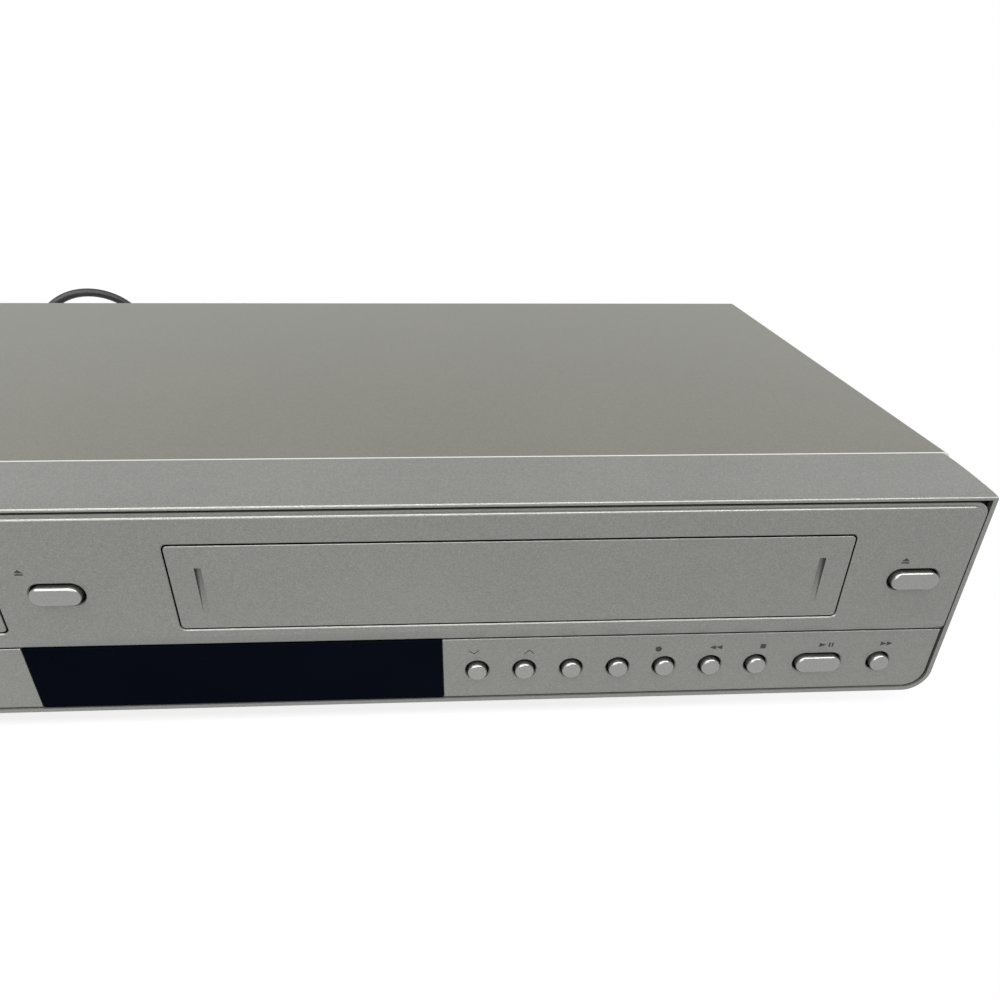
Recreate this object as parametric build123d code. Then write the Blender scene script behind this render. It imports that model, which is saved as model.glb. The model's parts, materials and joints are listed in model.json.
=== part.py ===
from build123d import *
import math
import os

# A disc and tape player on four feet, all sizes in millimetres.
# X runs along the width, Y from the front to the back, Z up from the resting surface.
# Depths are counted from the front face plane, heights from the body's bottom edge.

# ---- overall ----
WIDTH = 430.0
BODY_H = 76.5
BODY_D = 227.0
FOOT_H = 8.0
SOCKET_PROUD = 9.0
BUTTON_PROUD = 1.7
SIT = 0.3  # what rests or runs near a seat stays this far from it
RUN = 0.05  # radial clearance of a shaft in its bore
PAST = 1.0  # a cut reaches this far beyond the face it breaks through

Y_FRONT = -(BODY_D + SOCKET_PROUD - BUTTON_PROUD) / 2

# ---- sheet metal ----
SHEET = 0.8
CHASSIS_T = 1.0
CHASSIS_FLANGE = 13.0
REAR_FLANGE = 4.0
COVER_INSET = 0.5
COVER_BEND_R = 1.8
COVER_HEM = 2.0
VENT_COUNT = 12
VENT_PITCH = 8.0
VENT_W = 3.0
VENT_H = 22.0
VENT_D = 150.0
VENT_MID_H = 44.0
REAR_VENT_X = -WIDTH / 2 + 75.0
REAR_VENT_H = 18.0

# ---- front bezel ----
BEZEL_D = 25.0
BEZEL_WALL = 2.2
RIM_SETBACK = 1.0
RIM_W = 1.4
SEAT_D = 3.0
WEB_T = 2.0
ROOF_FRONT_D = 3.5
ROOF_FRONT_H = BODY_H - 2.6
ROOF_MID_D = 15.4
ROOF_MID_H = BODY_H - 1.3
RIDGE_H = BODY_H - 3.3
RIM_TOP = 0.9
BOTTOM_CORNER_R = 8.0
TOP_CORNER_R = 4.0
GROOVE = 0.5

# ---- upper fascia ----
FASCIA_TOP = RIDGE_H - RIM_TOP - GROOVE
FASCIA_BOTTOM = 25.9
FASCIA_STEP = 0.9
FASCIA_STEP_D = 0.9
FASCIA_ROUND = 0.7
EDGE_ROUND = 0.3
STEP_ROUND = 0.4
CHAMFER_TOP = 29.8
LOWER_SETBACK = 1.5

# ---- lower strip ----
STRIP_TOP = 25.2
STRIP_BOTTOM = RIM_W + 0.2
WINDOW_GAP = 0.6
WINDOW_FROM_SIDE = 161.8
PANEL_GAP = 0.4
WINDOW_PROUD = 0.2

# ---- cassette door ----
DOOR_W = 200.0
DOOR_X1 = WIDTH / 2 - 39.0
DOOR_X0 = DOOR_X1 - DOOR_W
DOOR_BOTTOM = 32.3
DOOR_TOP = BODY_H - 14.4
DOOR_GAP = 0.5
DOOR_CORNER_R = 1.8
FLAP_T = 2.2
FLAP_SETBACK = 0.1
FLAP_AXIS_D = 4.8
FLAP_AXIS_RISE = 1.0
SPRING_L = 3.0
SPRING_LEG_DOWN = 8.0
SPRING_LEG_UP = 5.0
SPRING_WIRE = 0.6
FLAP_PIN_R = 1.0
FLAP_LUG_W = 2.6
FLAP_SLOT_W = 2.0
FLAP_SLOT_H = 16.0
FLAP_SLOT_DEEP = 1.1
FLAP_SLOT_INSET = 8.4
FLAP_SLOT_DROP = 1.0
WEB_ROOM = 8.0
WEB_ROOM_LOW = 4.0

# ---- disc tray ----
TRAY_GAP_W = 134.0
TRAY_GAP_X0 = -WIDTH / 2 + 7.5
TRAY_GAP_X1 = TRAY_GAP_X0 + TRAY_GAP_W
TRAY_GAP_BOTTOM = 32.2
TRAY_GAP_TOP = 54.2
TRAY_FRONT_T = 2.6
TRAY_W = 126.0
TRAY_BOTTOM = 38.0
TRAY_TOP = 44.0
TRAY_TRAVEL = BODY_D - 92.0
RACK_SPARE = 2.0
RACK_START = 8.0
TRAY_REAR_EDGE = 12.0
DISC_R = 60.0
DISC_ROOM = 0.8
SMALL_DISC_R = 40.0
DISC_FLOOR = 41.6
SMALL_FLOOR = 40.4
DISC_D = 74.0
TRAY_SLOT_W = 36.0

# ---- loader ----
LOADER_W = 138.0
LOADER_D0 = 17.0
LOADER_D1 = BODY_D - 37.0
LOADER_BOTTOM = 22.0
LOADER_WALL = 3.0
LOADER_POST_EDGE = 5.0
LOADER_POST_D = (32.0, 108.0)
LOADER_TOP = 52.0
LIP_W = 5.0
LIP_H = 2.6
CROSS_BAR = 26.0
CROSS_BAR_H = 6.0
BRIDGE_D = 40.0
BRIDGE_T = 1.2
CLAMP_R = 15.0
CLAMP_NECK_R = 10.0
CLAMP_FLANGE = 1.6
CLAMP_HANG = 5.8
CLAMP_STEP = 1.0
CLAMP_CUP = 2.5

GEAR_MODULE = 1.0
GEAR_TEETH = 18
ADDENDUM = 0.9
DEDENDUM = 1.25
TOOTH_FOOT = 0.36
GEAR_CREST = 0.12
RACK_CREST = 0.13
TOOTH_SUNK = 0.4
HUB_STEP = 2.0
GEAR_OFFSET = 45.0
GEAR_D = 30.0
GEAR_FACE = 3.8
PULLEY_R = 12.5
PULLEY_H = 2.4
MOTOR_PULLEY_R = 3.5
BELT_T = 1.0
BELT_H = 1.2
GEAR_PIN_R = 1.5
RACK_BACK = 3.2

# ---- traverse deck ----
SLED_PLATE_T = 1.6
SLED_PLATE_TOP = 28.0
SLED_PLATE_W = 96.0
SLED_D0 = 60.0
SLED_D1 = 162.0
SLED_PIVOT_BACK = 3.0
SLED_PIVOT_R = 2.0
SLED_PIVOT_IN = 6.0
SLED_PIVOT_OUT = 8.0
SLED_WINDOW_X0 = -27.0
SLED_WINDOW_X1 = 38.0
SLED_WINDOW_D0 = 87.0
SPINDLE_R = 1.5
SPINDLE_CAN_R = 12.0
SPINDLE_CAN_H = 5.0
SPINDLE_CAN_WALL = 1.0
SPINDLE_ROOM = 1.0
PLATTER_HUB_R = 6.0
PLATTER_R = 15.0
PLATTER_T = 2.4
PLATTER_TOP = 34.5
CONE_H = 2.8
CONE_R = 7.3
CONE_TAPER = 2.0
CONE_ROOM = 1.0
ROD_R = 1.5
ROD_X = 21.0
SCREW_X = 31.0
ROD_H = 25.5
ROD_BLOCK = 4.0
ROD_BLOCK_DROP = 3.0
PICKUP_L = 25.0
PICKUP_TRAVEL = 33.0
PICKUP_SPARE = 0.7
PICKUP_W = 50.0
PICKUP_BOTTOM = 22.5
PICKUP_TOP = 30.5
PICKUP_STEP = 2.0
PICKUP_NUT = 3.5
PICKUP_ARM_INSET = 4.0
PICKUP_ARM_RISE = 3.0
LENS_D = 8.0
LENS_R = 4.0
LENS_H = 2.2

# ---- tape deck ----
CASSETTE_W = 187.0
CASSETTE_H = 25.0
CASSETTE_ROOM = 1.0
DECK_T = 1.2
DECK_TOP = 21.2
DECK_W = 206.0
DECK_D0 = 38.0
DECK_D1 = BODY_D - 31.0
DECK_POST_EDGE = 6.0
DECK_POST_BACK = 8.0
POST_R = 4.0
CARRIAGE_T = 1.0
CARRIAGE_D0 = 37.0
CARRIAGE_L = 62.0
CARRIAGE_FLOOR = 32.2
CARRIAGE_TRAVEL = DECK_D1 - 160.0
CARRIAGE_OPEN_X = 70.0
CARRIAGE_WINDOW_X0 = 30.0
CARRIAGE_WINDOW_X1 = 62.0
CARRIAGE_WINDOW_EDGE = 12.0
CARRIAGE_PIN_PAST = 1.0
RAIL_T = 1.2
RAIL_GAP = 2.2
RAIL_SETBACK = 2.0
RAIL_D1 = DECK_D1 - 62.0
RAIL_TOP = BODY_H - 10.5
CARRIAGE_PIN_R = 1.6
CARRIAGE_PIN_INSET = 8.0
PIN_SLOT_PLAY = 0.3
PIN_SLOT_DROP = 18.0
DRUM_R = 31.0
DRUM_D = DECK_D1 - 28.0
DRUM_SPLIT = 37.0
DRUM_TOP = 54.0
DRUM_GAP = 0.4
DRUM_SHAFT_R = 3.0
DRUM_SHAFT_LIFT = 2.0
DRUM_FOOT_H = 5.0
DRUM_FOOT_INSET = 6.0
DRUM_DISH = 3.0
DRUM_RIM = 7.0
DRUM_HUB_R = 11.0
DRUM_HUB_DROP = 1.0
HEAD_COUNT = 4
HEAD_WINDOW_DEEP = 3.0
HEAD_WINDOW_W = 4.0
REEL_PITCH = 92.0
REEL_D = 84.0
REEL_R = 14.0
REEL_HUB_R = 9.0
REEL_TOP = 31.6
REEL_SHAFT_R = 2.0
REEL_SHAFT_DROP = 2.0
REEL_CAP = 1.5
REEL_FLANGE_T = 3.0
SPLINE_COUNT = 3
SPLINE_L = 2.4
SPLINE_W = 2.0
CAPSTAN_X = 60.0
CAPSTAN_D = DRUM_D - 22.0
CAPSTAN_R = 2.0
CAPSTAN_TOP = 48.0
FLYWHEEL_R = 21.0
FLYWHEEL_H = 6.0
BEARING_R = 5.0
BEARING_H = 7.0
ROLLER_R = 7.5
ROLLER_H = 13.0
ROLLER_GAP = 3.0
ARM_T = 2.0
ARM_L = 30.0
ARM_H = 27.0
ARM_PIN_R = 2.0
ARM_PIN_PAST = 1.0
ARM_HALF_W = 4.0
ARM_BOSS_R = 4.5
MOTOR_R = 10.5
DECK_MOTOR_X = -78.0
DECK_MOTOR_R = 11.5
DECK_MOTOR_H = 26.0
WORM_L = 10.0
WORM_R = 2.5
LOADER_MOTOR_L = 14.0
LOADER_MOTOR_X = 12.0

# ---- boards ----
BOARD_T = 1.6
FRONT_BOARD_D = 14.0
FRONT_BOARD_BOTTOM = 3.0
FRONT_BOARD_TOP = 20.5
BOARD_EDGE = 8.0
RISER_W = 18.0
TUBE_W = 84.0
TUBE_BOTTOM = 5.0
TUBE_DROP = 6.0
MAIN_BOARD_H = 4.6
MAIN_GAP = 4.0
MAIN_D0 = 62.0
MAIN_REAR_GAP = 1.5
MAIN_POST_INSET = 8.0
MAIN_POST_BACK = (24.0, 19.0)
CHIP_T = 2.0
POWER_BOARD_H = 6.0
POWER_SIDE_GAP = 6.0
POWER_GAP = 2.0
POWER_D0 = 118.0
POWER_REAR_GAP = 3.0
POWER_POST_EDGE = 8.0
POWER_POST_X = (12.0, 40.0)
POWER_POST_BACK = 4.4
SWITCH_W = 6.0
SWITCH_T = 3.4
SWITCH_CAP_R = 1.7
SWITCH_CAP_H = 1.0

# ---- buttons ----
BUTTON_R = 3.05
OVAL_W = 14.6
BUTTON_GAP = 0.35
BEVEL = 0.6
BUTTON_EDGE = 0.8
BUTTON_FLANGE = 1.2
BUTTON_FLANGE_T = 1.0
BUTTON_TRAVEL = 0.8
PLUNGER_R = 1.4
LOW_ROW_H = 12.7
HIGH_ROW_H = 46.0
KEY_PITCH = 15.05
FORWARD_X = WIDTH / 2 - 19.4
PLAY_X = FORWARD_X - 20.4
KEY_FIRST_X = FORWARD_X - 131.2
EJECT_X = WIDTH / 2 - 18.1
OPEN_X = TRAY_GAP_X1 + 17.5
STANDBY_X = -WIDTH / 2 + 19.0

# ---- sockets ----
RCA_R = 4.15
RCA_BORE_R = 1.6
RCA_COLLAR_R = 5.2
RCA_ROWS = (18.0, 32.0, 46.0)
RCA_COLUMNS = (-54.0, -36.0, -12.0, 6.0, 30.0)
SOCKET_BLOCK_D = 13.0
SOCKET_MARGIN = 9.0
SHOULDER = 0.85
SVIDEO_X = 52.0
SVIDEO_R = 5.2
SVIDEO_WALL = 1.0
SVIDEO_PROUD = 2.0
FRONT_RCA_PITCH = 16.0
FRONT_RCA_FIRST = STANDBY_X + 36.0
FRONT_RCA_FLOOR = 3.0
TUNER_X1 = WIDTH / 2 - 27.0
TUNER_X0 = TUNER_X1 - 58.0
TUNER_D0 = BODY_D - 28.0
TUNER_TOP = BODY_H - 14.5
F_SOCKET_R = 4.7
F_BORE_R = 1.0
F_SOCKET_X = TUNER_X0 + 18.0
F_SOCKET_H = (26.0, 48.0)

# ---- feet and screws ----
FOOT_R = 15.0
FOOT_TAPER = 1.5
FOOT_X = WIDTH / 2 - 35.0
FOOT_D0 = 40.0
FOOT_D1 = BODY_D - 27.0
FOOT_RECESS_R = 6.0
FOOT_RECESS = 4.5
HEAD_R = 3.6
HEAD_H = 1.2
RECESS_W = 0.9
RECESS_L = 3.6
RECESS_DEEP = 0.8
SHANK_R = 1.5
SHANK_L = 5.0
SIDE_SCREW_H = 24.0
SIDE_SCREW_D = (60.0, BODY_D - 37.0)
REAR_SCREW_X = (-WIDTH / 2 + 10.0, -70.0, 70.0, WIDTH / 2 - 10.0)
REAR_SCREW_H = BODY_H - 10.5

# ---- power cord ----
CORD_D = 5.0
CORD_X = -WIDTH / 2 + 12.0
CORD_EXIT_H = 17.5
BEND_SHARE = 0.45  # each bend takes up this share of the shorter run beside it
RELIEF_L = 20.0
RELIEF_R = 5.8
RELIEF_NECK_R = 4.2
RELIEF_TIP = 0.9
RELIEF_FLANGE = 4.0
RELIEF_CUTS = 4
RELIEF_PITCH = 4.0
RELIEF_CUT = 1.4
RELIEF_CORE = 0.7
RELIEF_BRIDGE = 2.4
COIL_X = CORD_X + 141.0
COIL_D = BODY_D + 57.0
COIL_R = 34.5
COIL_PITCH = 5.6
COIL_LAYER = 5.5
COIL_LIFT = 1.0
COIL_TAIL = 24.0
GAP_SAMPLES = 1400
GAP_SKIP = 1.6
HALF_TURNS_DOWN = 6
HALF_TURNS_UP = 6
TIE_T = 0.8
TIE_W = 7.0
PLUG_NECK_L = 14.0
PLUG_NECK_T = 0.8
PLUG_BODY_L = 25.0
PLUG_BODY_W = 22.0
BLADE_L = 17.0
BLADE_W = 6.3
BLADE_WIDE = 7.9
BLADE_T = 1.5
BLADE_PITCH = 12.7

LOADER_X = (TRAY_GAP_X0 + TRAY_GAP_X1) / 2
UP_EXIT = FOOT_H + CORD_EXIT_H
RACK_END = GEAR_D + TRAY_TRAVEL + RACK_SPARE
TRAY_END = RACK_END + RACK_SPARE
SLED_WINDOW_D1 = SLED_WINDOW_D0 + 2 * ROD_BLOCK + SIT + PICKUP_L + PICKUP_TRAVEL + PICKUP_SPARE
DECK_X = (DOOR_X0 + DOOR_X1) / 2
WEB_BACK = SEAT_D + WEB_T
REAR_D = BODY_D - SHEET
GEAR_R = GEAR_MODULE * GEAR_TEETH / 2
FLAP_AXIS_H = DOOR_TOP + FLAP_AXIS_RISE
WINDOW_X0 = TRAY_GAP_X1 + WINDOW_GAP
WINDOW_X1 = WIDTH / 2 - WINDOW_FROM_SIDE
JACK_HOLES = tuple((FRONT_RCA_FIRST + number * FRONT_RCA_PITCH, LOW_ROW_H) for number in range(3))
BOARD_POSTS = ((-100.0, 14.0), (0.0, 14.0), (KEY_FIRST_X + 22.5, 6.0), (KEY_FIRST_X + 97.6, 6.0))
MAIN_X0 = LOADER_X + LOADER_W / 2 + MAIN_GAP
MAIN_X1 = WIDTH / 2 - BOARD_EDGE
MAIN_D1 = REAR_D - SHEET - MAIN_REAR_GAP
MAIN_POSTS = (
    (MAIN_X0 + MAIN_POST_INSET, MAIN_D0 + MAIN_POST_INSET),
    (MAIN_X1 - MAIN_POST_INSET, MAIN_D0 + MAIN_POST_INSET),
    (MAIN_X0 + MAIN_POST_INSET, MAIN_D1 - MAIN_POST_BACK[0]),
    (MAIN_X1 - MAIN_POST_INSET, MAIN_D1 - MAIN_POST_BACK[1]),
)
POWER_X0 = -WIDTH / 2 + POWER_SIDE_GAP
POWER_X1 = LOADER_X + LOADER_W / 2 - POWER_GAP
POWER_D1 = REAR_D - SHEET - POWER_REAR_GAP
POWER_POSTS = (
    (POWER_X0 + POWER_POST_X[0], POWER_D0 + POWER_POST_EDGE),
    (POWER_X1 - POWER_POST_EDGE, POWER_D0 + POWER_POST_EDGE),
    (POWER_X0 + POWER_POST_X[1], POWER_D1 - POWER_POST_BACK),
    (POWER_X1 - POWER_POST_EDGE, POWER_D1 - POWER_POST_BACK),
)
DECK_POSTS = tuple(
    (DECK_X + side * (DECK_W / 2 - DECK_POST_EDGE), d)
    for side in (-1, 1)
    for d in (DECK_D0 + DECK_POST_BACK, DECK_D1 - DECK_POST_BACK)
)
LOADER_POSTS = tuple(
    (LOADER_X + side * (LOADER_W / 2 - LOADER_POST_EDGE), d) for side in (-1, 1) for d in LOADER_POST_D
)
# each chip's x, depth and width
CHIPS = (
    (MAIN_X0 + 22.0, MAIN_D0 + 48.0, 26.0),
    (MAIN_X0 + 22.0, MAIN_D0 + 88.0, 18.0),
    (DECK_X - 36.0, MAIN_D0 + 78.0, 22.0),
    (DECK_X + 34.0, MAIN_D0 + 28.0, 20.0),
)
# each upright part's x from and to, depth from and to, and height over the board
TRANSFORMER = (POWER_X0 + 59.0, POWER_X0 + 91.0, POWER_D1 - 29.4, POWER_D1 - 3.4, 30.0)
HEAT_SINK = (POWER_X1 - 18.5, POWER_X1 - 14.5, POWER_D0 + 22.0, POWER_D1 - 8.4, 11.0)
FUSE = (POWER_X0 + 19.0, POWER_X0 + 41.0, POWER_D0 + 32.0, POWER_D0 + 42.0, 8.0)
# each capacitor's x, depth, height over the board and radius
CAPACITORS = ((POWER_X1 - 30.5, POWER_D1 - 17.4, 32.0, 9.0), (POWER_X0 + 43.0, POWER_D1 - 22.4, 24.0, 6.5))


def back(depth):
    """Y of a depth behind the front face."""
    return Y_FRONT + depth


def up(height):
    """Z of a height above the body's bottom edge."""
    return FOOT_H + height


def block(x0, x1, d0, d1, h0, h1):
    """A box between two X values, two depths and two heights."""
    solid = Box(x1 - x0, d1 - d0, h1 - h0)
    return Pos((x0 + x1) / 2, back((d0 + d1) / 2), up((h0 + h1) / 2)) * solid


def post(x, d, h0, h1, r):
    """An upright cylinder."""
    return Pos(x, back(d), up((h0 + h1) / 2)) * Cylinder(r, h1 - h0)


def rod(x, h, d0, d1, r):
    """A cylinder that runs from the front towards the back."""
    return Pos(x, back((d0 + d1) / 2), up(h)) * Rot(90, 0, 0) * Cylinder(r, d1 - d0)


def cross_pin(x0, x1, d, h, r):
    """A cylinder that runs along the width."""
    return Pos((x0 + x1) / 2, back(d), up(h)) * Rot(0, 90, 0) * Cylinder(r, x1 - x0)


def plate(outline, d0, d1):
    """An outline in width and height, from one depth to another."""
    plane = Plane(origin=(0, back(d0), up(0)), x_dir=(1, 0, 0), z_dir=(0, -1, 0))
    return extrude(plane * outline, amount=-(d1 - d0))


def cone_plate(outline, inner, d0, d1):
    """A lofted mouth between two outlines of the same kind at two depths."""
    front = Plane(origin=(0, back(d0), up(0)), x_dir=(1, 0, 0), z_dir=(0, -1, 0))
    rear = Plane(origin=(0, back(d1), up(0)), x_dir=(1, 0, 0), z_dir=(0, -1, 0))
    return loft([(front * outline).faces()[0], (rear * inner).faces()[0]], ruled=True)


def side_profile(points):
    """A closed outline in depth and height, carried across the whole width."""
    corners = [(back(d), up(h)) for d, h in points]
    face = make_face(Polyline(*corners, close=True))
    return extrude(Plane.YZ * face, amount=WIDTH / 2 + PAST, both=True)


def rounded(x0, x1, h0, h1, r):
    """A rectangle in width and height with rounded corners."""
    return Pos((x0 + x1) / 2, (h0 + h1) / 2) * RectangleRounded(x1 - x0, h1 - h0, r)


def group(solids):
    """Several separate solids of one node."""
    return Compound(children=[s for part in solids for s in part.solids()])


# ---- buttons: where each is, and its shape ----
def key_x(number):
    """The middle of a round key in the lower row."""
    return KEY_FIRST_X + number * KEY_PITCH


ROUND_KEYS = {
    "power_button": STANDBY_X,
    "channel_down_button": key_x(0),
    "channel_up_button": key_x(1),
    "source_button": key_x(2),
    "view_button": key_x(3),
    "record_button": key_x(4),
    "rewind_button": key_x(5),
    "stop_button": key_x(6),
    "fast_forward_button": FORWARD_X,
}
OVAL_KEYS = {
    "play_pause_button": (PLAY_X, LOW_ROW_H, LOWER_SETBACK),
    "open_close_button": (OPEN_X, HIGH_ROW_H, 0.0),
    "eject_button": (EJECT_X, HIGH_ROW_H, 0.0),
}
KEYS = {name: (x, LOW_ROW_H, LOWER_SETBACK, False) for name, x in ROUND_KEYS.items()}
KEYS.update({name: place + (True,) for name, place in OVAL_KEYS.items()})


def key_outline(x, h, oval, grow):
    """A key's outline, made larger all round by grow."""
    if oval:
        across = 2 * (BUTTON_R + grow)
        return Pos(x, h) * SlotOverall(OVAL_W + 2 * grow, across)
    return Pos(x, h) * Circle(BUTTON_R + grow)


def key_hole(name):
    """The hole of a key with its bevelled mouth."""
    x, h, face, oval = KEYS[name]
    straight = key_outline(x, h, oval, BUTTON_GAP)
    mouth = key_outline(x, h, oval, BUTTON_GAP + BEVEL)
    through = plate(straight, face - BUTTON_PROUD, WEB_BACK + PAST)
    return through + cone_plate(mouth, straight, face, face + BEVEL)


def button(name):
    """A key cap with a rounded face, a flange behind the web and a plunger."""
    x, h, face, oval = KEYS[name]
    front = face - BUTTON_PROUD
    cap = plate(key_outline(x, h, oval, 0), front, WEB_BACK + SIT + BUTTON_FLANGE_T)
    rim = cap.faces().sort_by(Axis.Y)[0].edges()
    cap = fillet(rim, BUTTON_EDGE)
    flange_d = WEB_BACK + SIT
    flange = plate(key_outline(x, h, oval, BUTTON_FLANGE), flange_d, flange_d + BUTTON_FLANGE_T)
    tip = FRONT_BOARD_D - SWITCH_T - BUTTON_TRAVEL - RUN
    return cap + flange + rod(x, h, flange_d, tip, PLUNGER_R)


# ---- front ----
def body_outline(inset):
    """The front's outline, inset all round, with its rounded corners."""
    half = WIDTH / 2 - inset
    top = BODY_H - inset
    outline = Pos(0, (top + inset) / 2) * Rectangle(2 * half, top - inset)
    low = outline.vertices().group_by(Axis.Y)[0]
    outline = fillet(low, max(BOTTOM_CORNER_R - inset, 1.0))
    high = outline.vertices().group_by(Axis.Y)[-1]
    return fillet(high, max(TOP_CORNER_R - inset, 1.0))


def roof_points(drop, front):
    """The bezel's side outline: a ridge at the front and a gently rising roof."""
    return [
        (front, -PAST),
        (front, RIDGE_H - drop),
        (ROOF_FRONT_D, ROOF_FRONT_H - drop),
        (ROOF_MID_D, ROOF_MID_H - drop),
        (BEZEL_D, BODY_H - drop),
        (BEZEL_D + PAST, BODY_H - drop),
        (BEZEL_D + PAST, -PAST),
    ]


def door_hole(grow):
    """The cassette opening's outline, larger all round by grow."""
    return rounded(
        DOOR_X0 - grow, DOOR_X1 + grow, DOOR_BOTTOM - grow, DOOR_TOP + grow, DOOR_CORNER_R
    )


def tray_hole(grow):
    """The tray opening's outline, larger all round by grow."""
    return rounded(
        TRAY_GAP_X0 - grow,
        TRAY_GAP_X1 + grow,
        TRAY_GAP_BOTTOM - grow,
        TRAY_GAP_TOP + grow,
        DOOR_CORNER_R,
    )


def front_bezel():
    """A shell behind the front, with a rim, a web that seats the panels, and a roof."""
    outer = plate(body_outline(0), RIM_SETBACK, BEZEL_D) & side_profile(roof_points(0, 0))
    edge = outer.edges().filter_by(Axis.X).sort_by(Axis.Y)[:6]
    front_end = back(ROOF_FRONT_D + PAST)
    ridge = [e for e in edge if e.center().Z > up(BODY_H / 2) and e.center().Y < front_end]
    outer = fillet(ridge, RIM_W / 2)
    hollow = plate(body_outline(BEZEL_WALL), WEB_BACK, BEZEL_D + PAST)
    hollow &= side_profile(roof_points(BEZEL_WALL, 0))
    recess = plate(body_outline(RIM_W), 0, SEAT_D) & side_profile(roof_points(RIM_TOP, 0))
    shell = outer - hollow - recess
    low, high = DOOR_BOTTOM - WEB_ROOM_LOW, DOOR_TOP + WEB_ROOM
    behind_door = rounded(DOOR_X0 - WEB_ROOM, DOOR_X1 + WEB_ROOM, low, high, DOOR_CORNER_R)
    shell -= plate(behind_door, SEAT_D - PAST, WEB_BACK + PAST)
    shell -= plate(tray_hole(SIT), SEAT_D - PAST, WEB_BACK + PAST)
    for name in KEYS:
        shell -= key_hole(name)
    for x, h in JACK_HOLES:
        shell -= rod(x, h, 0, WEB_BACK + PAST, RCA_COLLAR_R + SIT)
    for x, h in BOARD_POSTS:
        shell += rod(x, h, WEB_BACK, FRONT_BOARD_D, POST_R / 2)
    return shell


def upper_fascia():
    """The pillowed upper face: a stepped plate, chamfered along its lower edge."""
    half = WIDTH / 2 - RIM_W - GROOVE
    lip = rounded(-half, half, FASCIA_BOTTOM, FASCIA_TOP, TOP_CORNER_R)
    lip += rounded(-half, half, FASCIA_BOTTOM, FASCIA_TOP - 2 * TOP_CORNER_R, STEP_ROUND)
    body = plate(lip, FASCIA_STEP_D, SEAT_D)
    inner = half - FASCIA_STEP
    pillow = rounded(-inner, inner, FASCIA_BOTTOM, FASCIA_TOP - FASCIA_STEP, TOP_CORNER_R)
    pillow += rounded(-inner, inner, FASCIA_BOTTOM, FASCIA_TOP - 3 * TOP_CORNER_R, STEP_ROUND)
    face = plate(pillow, 0, FASCIA_STEP_D)
    face = fillet(face.faces().sort_by(Axis.Y)[0].edges(), FASCIA_ROUND)
    body += face
    wedge = [
        (-PAST, CHAMFER_TOP + (CHAMFER_TOP - FASCIA_BOTTOM) / LOWER_SETBACK),
        (LOWER_SETBACK, FASCIA_BOTTOM),
        (LOWER_SETBACK, 0.0),
        (-PAST, 0.0),
    ]
    body -= side_profile(wedge)
    for hole in (door_hole, tray_hole):
        body -= plate(hole(0), -PAST, SEAT_D + PAST)
        body -= cone_plate(hole(EDGE_ROUND), hole(0), 0, EDGE_ROUND)
    for name in ("open_close_button", "eject_button"):
        body -= key_hole(name)
    tall = 2 * FLAP_PIN_R
    for x0 in (DOOR_X0 - FLAP_LUG_W - SIT, DOOR_X1 + SIT):
        x1 = x0 + FLAP_LUG_W
        body += block(x0, x1, SEAT_D, FLAP_AXIS_D + tall, FLAP_AXIS_H - tall, FLAP_AXIS_H + tall)
        body -= cross_pin(x0 - PAST, x1 + PAST, FLAP_AXIS_D, FLAP_AXIS_H, FLAP_PIN_R + RUN)
    return body


def strip_end(x0, x1, left):
    """A silver panel of the lower strip, rounded at the machine's outer lower corner."""
    middle = Pos((x0 + x1) / 2, (STRIP_BOTTOM + STRIP_TOP) / 2)
    outline = middle * Rectangle(x1 - x0, STRIP_TOP - STRIP_BOTTOM)
    low = outline.vertices().group_by(Axis.Y)[0].sort_by(Axis.X)
    corner = low[0] if left else low[-1]
    outline = fillet([corner], BOTTOM_CORNER_R - RIM_W)
    panel = plate(outline, LOWER_SETBACK, SEAT_D)
    return fillet(panel.faces().sort_by(Axis.Y)[0].edges(), EDGE_ROUND)


def lower_left_panel():
    """The silver panel under the tray, with the standby key's hole and three socket holes."""
    x0 = -WIDTH / 2 + RIM_W + PANEL_GAP
    body = strip_end(x0, WINDOW_X0 - PANEL_GAP, True)
    body -= key_hole("power_button")
    for x, h in JACK_HOLES:
        body -= rod(x, h, 0, SEAT_D + PAST, RCA_COLLAR_R + RUN)
    return body


def button_panel():
    """The silver panel right of the window, with a hole for each key."""
    body = strip_end(WINDOW_X1 + PANEL_GAP, WIDTH / 2 - RIM_W - PANEL_GAP, False)
    for name in KEYS:
        if name not in ("power_button", "open_close_button", "eject_button"):
            body -= key_hole(name)
    return body


def display_window():
    """The dark clear window in the middle of the strip."""
    outline = rounded(WINDOW_X0, WINDOW_X1, STRIP_BOTTOM, STRIP_TOP, STEP_ROUND)
    window = plate(outline, LOWER_SETBACK - WINDOW_PROUD, SEAT_D)
    return fillet(window.faces().sort_by(Axis.Y)[0].edges(), EDGE_ROUND)


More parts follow.
